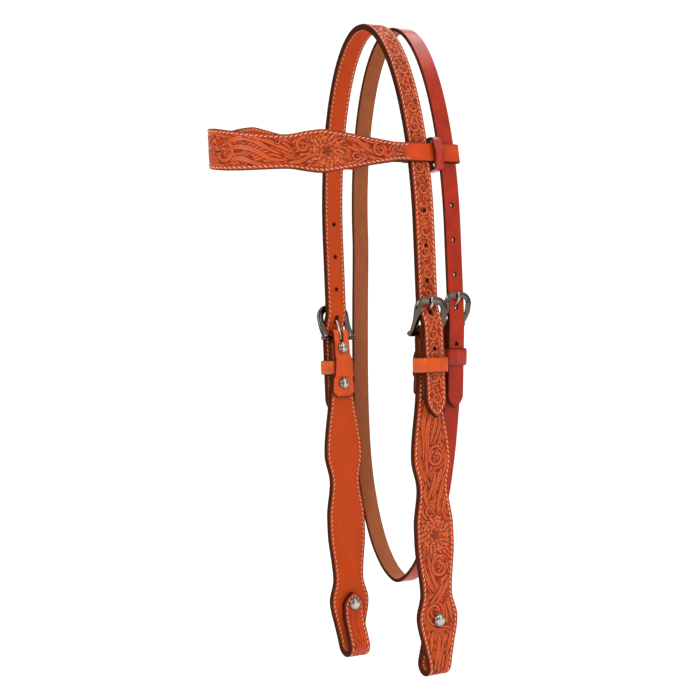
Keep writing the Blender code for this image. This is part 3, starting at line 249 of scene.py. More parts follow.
def leatherFinish(name, top, flesh, dark, gloss, fibrous, stippled=False, glazed=0.08):
    # vegetable-tanned cowhide, oiled and glazed: a fine pebbled grain with a soft shine,
    # darker where the tools pressed it, almost black on its burnished edges
    material, tree, shader = newMaterial(name)
    coords = addNode(tree, "ShaderNodeAttribute", {
        "attribute_name": "strapPlace"}).outputs["Vector"]
    marks = addNode(tree, "ShaderNodeAttribute", {"attribute_name": "marks"})
    split = addNode(tree, "ShaderNodeSeparateColor", inputs={"Color": marks.outputs["Color"]})
    cuts, ground, edge = [split.outputs[key] for key in ("Red", "Green", "Blue")]
    rubsAndHighlights = marks.outputs["Alpha"]
    side = addNode(tree, "ShaderNodeSeparateXYZ", inputs={"Vector": coords})
    under = maths(tree, "LESS_THAN", side.outputs["Z"], 0.5)
    # cloudy dye, about 18 mm across
    cloud = remapped(tree, noisy(tree, coords, hide["cloud"], 4.0, 0.6), *hide["cloudTones"],
                     *noiseSpan)
    dyed = mixed(tree, 1.0, linearColour(top), cloud, "MULTIPLY")
    # the flesh side, dull brown with fibres drawn along it, about 2 mm apart
    stretch = addNode(tree, "ShaderNodeVectorMath", {"operation": "MULTIPLY"}, {
        0: coords, 1: (1 / hide["fibreLong"], 1 / hide["fibreWide"], 1.0)})
    fibre = remapped(tree, noisy(tree, stretch.outputs["Vector"], 1.0, 3.0), 1 - fibrous,
                     1 + fibrous / 2, *noiseSpan)
    fleshy = mixed(tree, 1.0, linearColour(flesh), fibre, "MULTIPLY")
    colour = mixed(tree, under, dyed, fleshy)
    # antique dye stays in cuts and matted ground, ridges are lightened, partly as wear from
    # the polishing cloth and partly as a painted highlight, and edges are burnished
    sunk = maths(tree, "MULTIPLY", ground, hide["groundDye"])
    for share, tone in ((cuts, dark), (sunk, dark), (rubsAndHighlights, hide["rubbedAndHighlight"]),
                        (edge, hide["burnished"])):
        colour = mixed(tree, share, colour, linearColour(tone))
    tree.links.new(colour, shader.inputs["Base Color"])
    # grain pores about 0.9 mm apart between creases about 3.5 mm across
    crease = noisy(tree, coords, hide["crease"], 5.0)
    grain = addNode(tree, "ShaderNodeMix", inputs={
        "Factor": hide["creaseShare"], "A": pebbled(tree, coords, hide["pore"]), "B": crease})
    normal = bumped(tree, grain.outputs["Result"], hide["grainBump"], hide["grainDepth"])
    if stippled:
        # the backgrounder's beads, about 1.1 mm apart
        beads = maths(tree, "MULTIPLY", pebbled(tree, coords, hide["bead"]), ground)
        normal = bumped(tree, beads, hide["beadBump"], hide["beadDepth"], normal)
    tree.links.new(normal, shader.inputs["Normal"])
    rough = remapped(tree, crease, *[gloss + change for change in hide["glossRange"]])
    for share, change in ((under, "fleshDull"), (ground, "groundDull"), (rubsAndHighlights, "rubbedShine")):
        rough = maths(tree, "MULTIPLY_ADD", share, hide[change], rough, clamp=True)
    tree.links.new(rough, shader.inputs["Roughness"])
    # burnished edges are waxed dull
    tree.links.new(remapped(tree, edge, *hide["specular"]), shader.inputs["Specular IOR Level"])
    tree.links.new(remapped(tree, edge, glazed, 0.0), shader.inputs["Coat Weight"])
    shader.inputs["Coat Roughness"].default_value = hide["glazeRoughness"]
    return material


def threadFinish(tone):
    # waxed cotton saddler's thread: cream, dull, with fuzz about 1.2 mm long
    material, tree, shader = newMaterial("waxedCottonThread")
    coords = addNode(tree, "ShaderNodeTexCoord").outputs["Object"]
    fuzz = remapped(tree, noisy(tree, coords, 0.0012, 3.0), 0.7, 1.1)
    tree.links.new(mixed(tree, 1.0, linearColour(tone), fuzz, "MULTIPLY"),
                   shader.inputs["Base Color"])
    shader.inputs["Roughness"].default_value = 0.75
    return material


def nickelFinish(name, tone, smooth, rough):
    # nickel silver, hand-buffed in swirls about 4 mm wide: warm grey where cast, a tone painted
    # darker than plain nickel as shade for its dark reflections; brighter on turned screws and
    # drawn tongues; painted darker towards a screw's rim as shade for its dark reflection there
    material, tree, shader = newMaterial(name)
    coords = addNode(tree, "ShaderNodeTexCoord").outputs["Object"]
    swirl = noisy(tree, coords, 0.004, 6.0)
    tree.links.new(remapped(tree, swirl, smooth, rough, *noiseSpan), shader.inputs["Roughness"])
    # painted shade: the tone darkens towards a screw's rim, standing in for the dark reflection
    # there
    rim = addNode(tree, "ShaderNodeAttribute", {"attribute_name": "paintedRimShade"}).outputs["Fac"]
    tint = maths(tree, "MULTIPLY_ADD", rim, -0.62, remapped(tree, swirl, 0.85, 1.1))
    tree.links.new(mixed(tree, 1.0, linearColour(tone), tint, "MULTIPLY"),
                   shader.inputs["Base Color"])
    shader.inputs["Metallic"].default_value = 1.0
    return material


# dyes of the grain side, the flesh side and the cuts; gloss; how far the fibres show
finishes = {
    "tooled": leatherFinish("tooledSkirtingLeather", "#c8400a", "#b85a28", "#501404", 0.38,
                            0.2, stippled=True),
    "lining": leatherFinish("smoothLiningLeather", "#c2450f", "#c2450f", "#6e1e08", 0.42, 0.07),
    "latigo": leatherFinish("latigoLeather", "#ac2a0e", "#9c5630", "#4a0f04", 0.30, 0.16),
    "keeper": leatherFinish("glazedKeeperLeather", "#cc5016", "#a85c30", "#6e1e08", 0.26, 0.15,
                            glazed=0.35),
    "glazedLatigo": leatherFinish("glazedLatigoLeather", "#a82a10", "#9c5630", "#4a0f04", 0.24,
                                  0.16, glazed=0.35),
    "chape": leatherFinish("chapeLeather", "#dc561e", "#b86434", "#6e1e08", 0.34, 0.15),
    "thread": threadFinish("#e4ab88"),
    # the buffed nickel's tone is painted darker than plain nickel, as shade for its dark
    # reflections
    "nickel": nickelFinish("buffedNickel", "#615950", 0.12, 0.22),
    "polished": nickelFinish("polishedNickel", "#c2bcb2", 0.11, 0.17),
}
print("finishes mixed")

# routes: the lines that the straps follow, the same as the solid model's

axisX, axisY, axisZ = np.eye(3)
sheetGap = 0.0003
arcStep = math.radians(1.5)
easeSteps = 25
strapLeather = 0.00245
throatLeather = 0.0030
layerHalf = strapLeather + sheetGap / 2


def eased(share):
    share = np.clip(share, 0, 1)
    return share * share * (3 - 2 * share)


def arcPoints(centre, radiusX, radiusZ, start, end):
    turns = np.linspace(start, end, max(3, math.ceil(abs(end - start) / arcStep) + 1))
    return (np.asarray(centre) + np.outer(radiusX * np.cos(turns), axisX)
            + np.outer(radiusZ * np.sin(turns), axisZ))


def easePoints(start, end, axis):
    run = axis * np.dot(end - start, axis)
    share = np.linspace(0, 1, easeSteps)[:, None]
    return start + run * share + (end - start - run) * eased(share)


def curvePoints(knots, step):
    # a smooth curve through the knots, from the second to the last but one
    points = []
    for a, b, c, d in zip(knots, knots[1:], knots[2:], knots[3:]):
        count = max(2, math.ceil(np.linalg.norm(c - b) / step))
        for t in np.arange(count) / count:
            points.append(0.5 * (2 * b + (c - a) * t + (2 * a - 5 * b + 4 * c - d) * t * t
                                 + (3 * b - a - 3 * c + d) * t ** 3))
    return np.array(points + [knots[-2]])


def makeRoute(parts, across):
    points = np.concatenate([np.atleast_2d(part) for part in parts])
    gaps = np.linalg.norm(np.diff(points, axis=0), axis=1)
    points = points[np.concatenate([[True], gaps > 1e-6])]
    runs = np.diff(points, axis=0)
    lengths = np.linalg.norm(runs, axis=1)
    runs = runs / lengths[:, None]
    alongs = np.concatenate([runs[:1], runs[:-1] + runs[1:], runs[-1:]])
    alongs = alongs / np.linalg.norm(alongs, axis=1)[:, None]
    places = np.concatenate([[0], np.cumsum(lengths)])
    return {"points": points, "alongs": alongs, "places": places, "length": places[-1],
            "across": across}


def alongRoute(route, places):
    def between(values):
        return np.stack([np.interp(places, route["places"], values[:, k]) for k in range(3)], 1)

    points = between(route["points"])
    alongs = between(route["alongs"])
    alongs /= np.linalg.norm(alongs, axis=1)[:, None]
    across = route["across"](points) if callable(route["across"]) else route["across"]
    faces = np.cross(alongs, np.broadcast_to(across, alongs.shape))
    faces /= np.linalg.norm(faces, axis=1)[:, None]
    return points, np.cross(faces, alongs), faces


def placeNear(route, point):
    starts, runs = route["points"][:-1], np.diff(route["points"], axis=0)
    share = ((np.asarray(point) - starts) * runs).sum(1) / (runs ** 2).sum(1)
    share = np.clip(share, 0, 1)
    away = np.linalg.norm(starts + runs * share[:, None] - point, axis=1)
    nearest = np.argmin(away)
    lengths = np.diff(route["places"])
    return route["places"][nearest] + share[nearest] * lengths[nearest]


def widthCurve(knots):
    # half widths along a strap, flat at each knot that is a highest or lowest one
    places = np.array([k[0] for k in knots])
    halves = np.array([k[1] for k in knots]) / 2
    slopes = np.zeros(len(knots))
    steps = np.diff(halves) / np.diff(places)
    for i in range(1, len(knots) - 1):
        if steps[i - 1] * steps[i] > 0:
            slopes[i] = 2 * steps[i - 1] * steps[i] / (steps[i - 1] + steps[i])

    def halfWidth(place):
        i = np.clip(np.searchsorted(places, place, side="right") - 1, 0, len(places) - 2)
        span = places[i + 1] - places[i]
        t = np.clip((place - places[i]) / span, 0, 1)
        return (halves[i] * (1 + 2 * t) * (1 - t) ** 2 + slopes[i] * span * t * (1 - t) ** 2
                + halves[i + 1] * t * t * (3 - 2 * t) + slopes[i + 1] * span * t * t * (t - 1))

    return halfWidth


def pointedTip(end, length, power):
    return lambda place: 1 - (1 - np.clip((end - place) / length, 0, 1)) ** power


# tooling: a drawn pattern turned into a pressed relief on a fine raster

mm = 0.001
tools = {
    "cell": 0.00025, "line": 0.00040,
    # the running veins' groove, the ridge beside it and the hollows sunk between them
    "groove": 0.00042, "ridge": 0.00018, "ridgeAside": 0.00090, "hollow": 0.00048,
    "waves": (0.0019, 0.0028, 0.0016, 0.0043), "sway": (2.2, 1.7),
    "hollowFrom": 0.35, "hollowEase": 0.25,
    # a pressed shape: dome, crisp rim with a painted highlight inside it, vein, cut outline and
    # the ground sunk round it
    "dome": 0.00030, "rim": 0.00062, "rimWidth": 0.00036, "thinnest": 0.0001,
    "vein": 0.00022, "veinWidth": 0.00032, "veinAside": 0.0006, "veinCut": 0.0003,
    "cut": 0.00026, "cutAside": 0.0001, "sunk": 0.8 * 0.00042,
    "sunkReach": 0.0009, "deepest": 0.00095, "margin": 0.0032, "far": 1e3,
}
# half widths along a petal, as shares of its width
petalShape = np.array([0.22, 0.36, 0.48, 0.55, 0.58, 0.55, 0.45])


def bell(away, width):
    # one at no distance, fading over the width
    return np.exp(-(away / width) ** 2)


class ToolingPanel:
    def __init__(self, start, end, half):
        self.start, self.half = start, half
        self.x = np.arange(start, end + tools["cell"], tools["cell"])
        self.y = np.arange(-half, half + tools["cell"], tools["cell"])

    def flow(self, spacing, eyes, wave, length):
        # running veins that wander along the strap and wind round each scroll's eye
        gx, gy = np.meshgrid(self.x, self.y, indexing="ij")
        lines = gy + wave * np.sin(2 * math.pi * gx / length)
        for x, y, reach, hand in eyes:
            away = np.hypot(gx - x, gy - y)
            near = np.exp(-(away / reach) ** 4)
            turns = np.arctan2(gy - y, gx - x) / (2 * math.pi)
            lines = lines * (1 - near) + (away - hand * spacing * turns) * near
        share = lines / spacing - np.floor(lines / spacing)
        groove = bell(np.minimum(share, 1 - share) * spacing, tools["line"])
        ridge = bell(share * spacing - tools["ridgeAside"], tools["line"])
        # the veins break off where a backgrounder has sunk small hollows
        a, b, c, d = tools["waves"]
        hollow = np.sin(gx / a + tools["sway"][0] * np.sin(gy / b)) * np.sin(
            gy / c + tools["sway"][1] * np.sin(gx / d))
        hollow = eased((hollow - tools["hollowFrom"]) / tools["hollowEase"])
        self.ground = hollow
        self.cuts = 0.9 * groove * (1 - hollow)
        # painted highlight, partly polishing wear: the ridge beside each groove is lightened
        self.rubsAndHighlights = 0.7 * ridge * (1 - hollow)
        self.height = (tools["ridge"] * ridge - tools["groove"] * groove
                       - tools["hollow"] * hollow)

    def press(self, line, radii, dome=tools["dome"], vein=None):
        # one raised shape: a line with a changing half width
        line, radii = np.asarray(line, float), np.asarray(radii, float)
        pad = radii.max() + tools["margin"]
        i0, i1 = np.searchsorted(self.x, (line[:, 0].min() - pad, line[:, 0].max() + pad))
        j0, j1 = np.searchsorted(self.y, (line[:, 1].min() - pad, line[:, 1].max() + pad))
        if i0 >= i1 or j0 >= j1:
            return
        gx, gy = np.meshgrid(self.x[i0:i1], self.y[j0:j1], indexing="ij")
        best, middle = np.full((2, *gx.shape), tools["far"])
        local = np.full(gx.shape, tools["thinnest"])
        for a, b, ra, rb in zip(line, line[1:], radii, radii[1:]):
            run = b - a
            t = ((gx - a[0]) * run[0] + (gy - a[1]) * run[1]) / max(run @ run, 1e-12)
            t = np.clip(t, 0, 1)
            far = np.hypot(gx - a[0] - run[0] * t, gy - a[1] - run[1] * t)
            radius = np.maximum(ra + (rb - ra) * t, tools["thinnest"])
            closer = far - radius < best
            best = np.where(closer, far - radius, best)
            middle = np.where(closer, far, middle)
            local = np.where(closer, radius, local)
        window = (slice(i0, i1), slice(j0, j1))
        inside = best < 0
        share = np.clip(middle / local, 0, 1)
        # a slightly dished body inside a crisp rim
        raised = dome * (1 - share ** 8) * (0.35 + 0.65 * share ** 2)
        # painted highlight, partly polishing wear: a light band just inside the cut outline, and
        # beside a vein
        rubsAndHighlights = 0.85 * bell(best + tools["rim"], tools["rimWidth"])
        cuts = np.where(inside, 0, self.cuts[window])
        if vein is not None:
            aside = middle - vein * local
            raised = raised - tools["vein"] * bell(aside, tools["veinWidth"])
            rubsAndHighlights = np.maximum(rubsAndHighlights, 0.5 * bell(aside - tools["veinAside"], tools["veinCut"]))
            cuts = np.maximum(cuts, np.where(inside, 0.45 * bell(aside, tools["veinCut"]), 0))
        height = self.height[window] - tools["sunk"] * np.exp(
            -np.maximum(best, 0) / tools["sunkReach"])
        height = np.where(inside, raised, np.maximum(height, -tools["deepest"]))
        cut = bell(best - tools["cutAside"], tools["line"])
        self.height[window] = height - tools["cut"] * cut
        self.ground[window] = np.where(inside, 0, self.ground[window])
        self.cuts[window] = np.maximum(cuts, cut)
        self.rubsAndHighlights[window] = np.where(inside, rubsAndHighlights, self.rubsAndHighlights[window]) * (1 - cut)

    def dot(self, x, y, radius, dome=tools["dome"]):
        self.press([(x, y), (x + 1e-5, y)], [radius] * 2, dome)

    def scroll(self, x, y, radius, turn, sweep, width):
        # a curl that winds in from its outer end; sweep is in turns and signed
        share = np.linspace(0, 1, 40)
        angle = turn + sweep * 2 * math.pi * share
        reach = radius * (1 - 0.82 * share)
        line = np.stack([x + reach * np.cos(angle), y + reach * np.sin(angle)], 1)
        self.press(line, width / 2 * (1 - 0.45 * share) * np.minimum(1, 0.35 + 3 * share),
                   vein=0.5)
        self.dot(*line[-1], width * 0.42)

    def frond(self, points, width):
        # one leaf lobe that follows a curve through three or more points
        knots = [np.array(p) for p in points]
        knots = [2 * knots[0] - knots[1]] + knots + [2 * knots[-1] - knots[-2]]
        line = curvePoints(knots, 0.0009)
        share = np.linspace(0, 1, len(line))
        radii = width / 2 * np.sin(math.pi * share ** 0.72) ** 0.75
        self.press(line, np.maximum(radii, 0.00012), vein=0.0)

    def leaf(self, x, y, reach, turn, spread, lobes, width):
        # a fan of lobes that leave one root and curl outwards
        for share in np.arange(lobes) / (lobes - 1) * 2 - 1:
            length = reach * (1 - 0.28 * abs(share))
            lean = turn + spread * share * 0.45
            bend = turn + spread * share + 0.9 * share * spread
            middle = (x + length * 0.5 * math.cos(lean), y + length * 0.5 * math.sin(lean))
            end = (middle[0] + length * 0.5 * math.cos(bend),
                   middle[1] + length * 0.5 * math.sin(bend))
            self.frond([(x, y), middle, end], width)

    def flower(self, x, y, radius, turn, petals=5, seeds=6):
        def at(angle, reach):
            return x + radius * reach * math.cos(angle), y + radius * reach * math.sin(angle)

        # leaf tips stand out all round the bloom
        for k in range(4 * petals):
            angle = turn + math.pi * (k + 0.5) / (2 * petals)
            self.frond([at(angle, 0.80), at(angle + 0.08, 1.05),
                        at(angle + 0.24, 1.42 if k % 2 else 1.22)], 0.24 * radius)
        for ring, (inner, outer, wide) in enumerate(((0.42, 1.0, 0.74), (0.20, 0.60, 0.46))):
            for k in range(petals):
                angle = turn + 2 * math.pi * (k + 0.5 * ring) / petals
                out = np.array([math.cos(angle), math.sin(angle)])
                line = np.array([x, y]) + np.outer(
                    np.linspace(inner, outer - wide / 3, len(petalShape)), out) * radius
                self.press(line, radius * wide * petalShape, 0.00034, 0.0)
                # strokes fan out over each petal
                for spread in (-0.26, 0.26):
                    self.frond([at(angle + spread * 0.5, inner + 0.06),
                                at(angle + spread * 0.9, (inner + outer) / 2),
                                at(angle + spread, outer - 0.10)], 0.0010)
        self.dot(x, y, radius * 0.24, 0.0005)
        for k in range(seeds + 1):
            self.dot(*at(2 * math.pi * k / seeds, 0.15 if k < seeds else 0), radius * 0.055,
                     0.0007)
        # the bloom and its leaf tips stand highest, and a painted highlight lightens them most,
        # as glints
        gx, gy = np.meshgrid(self.x, self.y, indexing="ij")
        near = eased((1.5 - np.hypot(gx - x, gy - y) / radius) / 0.3)
        self.rubsAndHighlights = np.minimum(1, self.rubsAndHighlights + near * (0.25 + 0.5 * self.rubsAndHighlights) * (1 - self.cuts))

    def draw(self, spacing, wave, length, fronds, scrolls):
        # tables in millimetres: veins first, then leaf lobes and scrolls over them
        self.flow(spacing, [(x * mm, y * mm, 1.5 * radius * mm, np.sign(sweep))
                            for x, y, radius, _, sweep, _ in scrolls], wave, length)
        for points, width in fronds:
            self.frond([(a * mm, b * mm) for a, b in points], width * mm)
        for x, y, radius, turn, sweep, width in scrolls:
            self.scroll(x * mm, y * mm, radius * mm, turn, sweep, width * mm)

    def read(self, place, across):
        i = np.clip((place - self.start) / tools["cell"], 0, len(self.x) - 1.001)
        j = np.clip((across + self.half) / tools["cell"], 0, len(self.y) - 1.001)
        i0, j0 = i.astype(int), j.astype(int)
        fi, fj = i - i0, j - j0
        return [layer[i0, j0] * (1 - fi) * (1 - fj) + layer[i0 + 1, j0] * fi * (1 - fj)
                + layer[i0, j0 + 1] * (1 - fi) * fj + layer[i0 + 1, j0 + 1] * fi * fj
                for layer in (self.height, self.ground, self.cuts, self.rubsAndHighlights)]


# strap maker: a flat grid, cut, thickened, pressed and then bent along its route

edges = {"burnish": 0.00070, "holeRound": 0.00015, "crease": 58, "bulge": 0.13}


def placeObject(name, mesh, material):
    mesh.name = name
    mesh.materials.clear()
    mesh.materials.append(material)
    piece = bpy.data.objects.new(name, mesh)
    scene.collection.objects.link(piece)
    return piece


def cutHole(bm, place, halfLength, halfAcross):
    straight = halfLength - halfAcross

    def offset(point):
        along = point.x - place
        nearest = max(-straight, min(straight, along))
        return Vector((along - nearest, point.y)), nearest

    faces = [f for f in bm.faces if abs(f.calc_center_median().x - place) < halfLength
             and offset(f.calc_center_median())[0].length < halfAcross]
    rim = {v for f in faces for v in f.verts if any(g not in faces for g in v.link_faces)}
    bmesh.ops.delete(bm, geom=faces, context="FACES")
    for vert in rim:
        out, nearest = offset(vert.co)
        out = out.normalized() * halfAcross
        vert.co.x, vert.co.y = place + nearest + out.x, out.y


def atPlaces(halfWidth, places):
    return halfWidth(places) if callable(halfWidth) else np.full(len(places), halfWidth)


def bendMesh(mesh, route, place, across, height):
    points, acrosses, faces = alongRoute(route, place)
    bent = points + acrosses * across[:, None] + faces * height[:, None]
    mesh.vertices.foreach_set("co", bent.astype(np.float32).ravel())
    mesh.update()


def makeStrap(name, material, route, halfWidth, under, over, step, rows, holes=(), relief=None,
              roundTop=0.0, roundUnder=0.0, sewing=None, start=0, end=None, closed=False,
              crowned=0.0):
    end = end or route["length"]
    columns = round((end - start) / step)
    bm = bmesh.new()
    bmesh.ops.create_grid(bm, x_segments=columns, y_segments=rows, size=1)
    gridX = np.linspace(start, end, columns + 1)
    halves = atPlaces(halfWidth, gridX)
    for vert in bm.verts:
        column = round((vert.co.x + 1) / 2 * columns)
        # rows lie closer towards the strap's edges
        share = vert.co.y * (1 + edges["bulge"] - edges["bulge"] * vert.co.y ** 4)
        vert.co = (gridX[column], share * halves[column], 0)
    bmesh.ops.remove_doubles(bm, verts=bm.verts[:], dist=0.00001)
    for hole in holes:
        cutHole(bm, *hole)
    bmesh.ops.translate(bm, verts=bm.verts[:], vec=(0, 0, under))
    grown = bmesh.ops.extrude_face_region(bm, geom=bm.faces[:])
    bmesh.ops.translate(bm, vec=(0, 0, over - under),
                        verts=[g for g in grown["geom"] if isinstance(g, bmesh.types.BMVert)])
    faceOutwards(bm)
    mesh = meshFrom(bm, name)
    flat = np.zeros(len(mesh.vertices) * 3)
    mesh.vertices.foreach_get("co", flat)
    place, across, height = flat.reshape(-1, 3).T.copy()
    top = height > (under + over) / 2
    half = np.interp(place, gridX, halves)
    slope = np.interp(place, gridX, np.gradient(halves, gridX))
    side = (half - np.abs(across)) / np.sqrt(1 + slope ** 2)
    edge = side
    if not closed:
        edge = np.minimum(edge, np.minimum(place - start, end - place))
    edge = np.maximum(edge, 0)
    outline = edge
    for middle, halfLength, halfAcross in holes:
        straight = halfLength - halfAcross
        along = place - middle
        along = along - np.clip(along, -straight, straight)
        edge = np.minimum(edge, np.maximum(np.hypot(along, across) - halfAcross, 0)
                          + edges["holeRound"])
    height += np.where(top, crowned * (1 - (across / np.maximum(half, 1e-6)) ** 2), 0)
    cuts, ground, rubsAndHighlights = np.zeros((3, len(place)))
    if relief:
        pressed, ground, cuts, rubsAndHighlights = [
            np.where(top, layer, 0) for layer in relief(place, across, outline)]
        height += pressed
    for face, sign, radius in ((top, 1, roundTop), (~top, -1, roundUnder)):
        gone = np.maximum(radius - edge, 0)
        drop = radius - np.sqrt(np.maximum(radius ** 2 - gone ** 2, 0))
        height -= np.where(face, drop * sign, 0)
    if sewing:
        # the thread is pulled down into a shallow channel, and its needle holes are pits
        sewn = (top == (sewing["side"] > 0)) & sewing["sewn"](place)
        channel = np.where(sewn, bell(side - sewing["inset"], stitching["channelWidth"]), 0)
        pits = np.zeros(len(place))
        near = np.flatnonzero(channel > 0.1)
        for row in sewing["rows"]:
            reach = np.hypot(place[near, None] - row[None, :, 0],
                             across[near, None] - row[None, :, 1]).min(1)
            pits[near] = np.maximum(pits[near], bell(reach, stitching["channelWidth"]))
        height -= sewing["side"] * (stitching["channel"] * channel + stitching["pit"] * pits)
        cuts = np.maximum(cuts, np.maximum(0.35 * channel, 0.95 * pits))
    bendMesh(mesh, route, place, across, height)
    setAttribute(mesh, "strapPlace", "FLOAT_VECTOR", "vector",
                 np.stack([place, across, top * 1.0], 1))
    # the marks' fourth channel is the ridges' light tone: polishing wear and painted highlight
    setAttribute(mesh, "marks", "FLOAT_COLOR", "color",
                 np.stack([cuts, ground, bell(edge, edges["burnish"]), rubsAndHighlights], 1))
    smoothMesh(mesh, edges["crease"])
    return placeObject(name, mesh, material)


# stitching: lockstitches of waxed thread that follow each strap's outline

stitching = {"pitch": 0.0040, "gap": 0.0007, "slant": 0.0015, "radius": 0.00050,
             "channel": 0.00022, "channelWidth": 0.0006, "pit": 0.00035, "dive": 0.0005,
             "proud": 0.00005, "outlineStep": 0.0002}


def sewingPlan(halfWidth, start, end, inset, ends, sewnFront, sewnBack):
    # needle places along the outline moved inwards; ends names the ends the row goes round
    x = np.linspace(start, end, round((end - start) / stitching["outlineStep"]))
    half = atPlaces(halfWidth, x)
    slope = np.gradient(half, x)
    size = np.sqrt(1 + slope ** 2)
    row = np.stack([x + inset * slope / size, half - inset / size], 1)
    row = row[(row[:, 1] > 0.0001) & (row[:, 0] > start) & (row[:, 0] < end)]
    back = row[::-1] * (1, -1)
    lines = {"both": [np.concatenate([row, back, row[:1]])],
             "last": [np.concatenate([row, back])], "none": [row, back]}[ends]
    rows = []
    for line in lines:
        places = np.concatenate([[0], np.cumsum(np.linalg.norm(np.diff(line, axis=0), axis=1))])
        nodes = np.linspace(0, places[-1], round(places[-1] / stitching["pitch"]) + 1)
        rows.append(np.stack([np.interp(nodes, places, line[:, k]) for k in (0, 1)], 1))
    return [{"inset": inset, "side": side, "sewn": sewn, "rows": rows}
            for side, sewn in ((1, sewnFront), (-1, sewnBack))]


def sewStitches(name, route, sewing):
    bm = bmesh.new()
    bmesh.ops.create_uvsphere(bm, u_segments=7, v_segments=6, radius=1)
    single = meshFrom(bm, "singleStitch")
    shape = np.array([tuple(v.co) for v in single.vertices])
    girth = np.hypot(shape[:, 0], shape[:, 1])
    # a sausage instead of a ball
    plump = stitching["radius"] / np.sqrt(np.maximum(girth, 0.01))
    starts = np.concatenate([row[:-1] for row in sewing["rows"]])
    ends = np.concatenate([row[1:] for row in sewing["rows"]])
    wanted = sewing["sewn"]((starts[:, 0] + ends[:, 0]) / 2)
    starts, ends = starts[wanted], ends[wanted]
    middles, runs = (starts + ends) / 2, ends - starts
    lengths = np.linalg.norm(runs, axis=1)[:, None]
    runs = runs / lengths
    sides = np.stack([-runs[:, 1], runs[:, 0]], 1)
    # every stitch leans the same way on the strap, whichever way its row is sewn
    lean = np.sign(runs[:, :1]) * stitching["slant"] / 2
    along = np.sign(shape[:, 2]) * np.abs(shape[:, 2]) ** 0.7 * (lengths - stitching["gap"]) / 2
    beside = lean * shape[:, 2] + plump * shape[:, 0]
    flat = (middles[:, None] + runs[:, None] * along[:, :, None]
            + sides[:, None] * beside[:, :, None]).reshape(-1, 2)
    rise = stitching["proud"] - stitching["channel"] + plump * shape[:, 1]
    rise = rise - stitching["dive"] * np.abs(shape[:, 2]) ** 6
    height = np.tile(sewing["side"] * layerHalf + sewing["side"] * rise, len(middles))
    bm = bmesh.new()
    for _ in middles:
        bm.from_mesh(single)
    mesh = meshFrom(bm, name)
    bendMesh(mesh, route, flat[:, 0], flat[:, 1], height)
    bm = bmesh.new()
    bm.from_mesh(mesh)
    if bm.calc_volume(signed=True) < 0:
        bmesh.ops.reverse_faces(bm, faces=bm.faces[:])
    bm.to_mesh(mesh)
    bm.free()
    bpy.data.meshes.remove(single)
    mesh.shade_smooth()
    return placeObject(name, mesh, finishes["thread"])


def mirrorPiece(piece, name):
    bm = bmesh.new()
    bm.from_mesh(piece.data)
    bmesh.ops.scale(bm, vec=(-1, 1, 1), verts=bm.verts[:])
    bmesh.ops.reverse_faces(bm, faces=bm.faces[:])
    return placeObject(name, meshFrom(bm, name), piece.data.materials[0])


def finishPiece(piece, body, nodes, slot):
    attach(piece, body)
    if nodes:
        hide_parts(*nodes)


def bothSides(piece, base, nodes, slot, bodies=("headstall", "headstall")):
    # the near piece is made; the far one is its mirror image
    far = mirrorPiece(piece, "right" + base)
    for owner, side, body in ((piece, "left_", bodies[0]), (far, "right_", bodies[1])):
        finishPiece(owner, body, [side + node for node in nodes], slot)


# what the doubled straps share: each layer reaches into the glue between them

doubled = {"glue": 0.0001, "round": 0.0006, "liningStep": 0.0009, "border": 0.00022,
           "borderWidth": 0.0004, "fade": 0.0006}
# name and slot; the first two replace a solid, the stitches none
layers = [("Outer", "tooled_leather"), ("Lining", "lining_leather"),
          ("StitchingFront", "lining_leather"), ("StitchingBack", "lining_leather")]
barrelHole = 0.0025
# adjusting holes, counted up the strap from the tongue's; one lies below it
adjusting = (-1, 1, 2, 3)
billetPower = 2.05


def everywhere(place):
    return np.full(len(place), True)


def sewLayers(base, route, halfWidth, plans, step, rows, holes, relief, start=0,
              roundUnder=0.0, liningSpan=None):
    glued = sheetGap / 2 - (0 if liningSpan else doubled["glue"])
    first, last = liningSpan or (start, None)
    yield makeStrap(base + "Outer", finishes["tooled"], route, halfWidth, glued, layerHalf,
                    step, rows[0], holes, relief, doubled["round"], roundUnder, plans[0], start)
    yield makeStrap(base + "Lining", finishes["lining"], route, halfWidth, -layerHalf,
                    -sheetGap / 2 + doubled["glue"], doubled["liningStep"], rows[1], holes,
                    None, 0, doubled["round"], plans[1], first, last)
    for face, plan in zip(("Front", "Back"), plans):
        yield sewStitches(base + "Stitching" + face, route, plan)


def layerNodes(base, layer):
    return [] if "Stitching" in layer else [base + "_" + layer.lower()]


def barrelHoles(places):
    return [(place, barrelHole, barrelHole) for place in places]


def billetHoles(tongue, size):
    # the tongue's slot and the adjusting holes
    return [(tongue - size["slotRise"], size["slotHalf"], size["slotWidth"])] + [
        (tongue - k * size["pitch"], size["hole"], size["hole"]) for k in adjusting]


def borderedRelief(toolwork, edge, inset):
    # the tooling stops at a line cut inside the stitching
    inside = eased((edge - inset) / doubled["fade"])
    border = bell(edge - inset, doubled["borderWidth"])
    pressed, ground, cuts, rubsAndHighlights = [layer * inside for layer in toolwork]
    return pressed - doubled["border"] * border, ground, np.maximum(cuts, 0.55 * border), rubsAndHighlights


# crown strap

crown = {
    "width": 0.0190, "halfSpan": 0.0690, "rise": 0.1756, "seat": 0.0070, "tipDrop": 0.0692,
    "point": 0.0150, "hole": 0.0014, "pitch": 0.0286, "lapStart": 0.0240, "lapEnd": 0.0040,
    "slotHalf": 0.0034, "slotWidth": 0.0016, "slotRise": 0.0024, "tongue": (0.0062, 0, 0.0147),
    "toolingInset": 0.0031, "sewingInset": 0.0021,
}
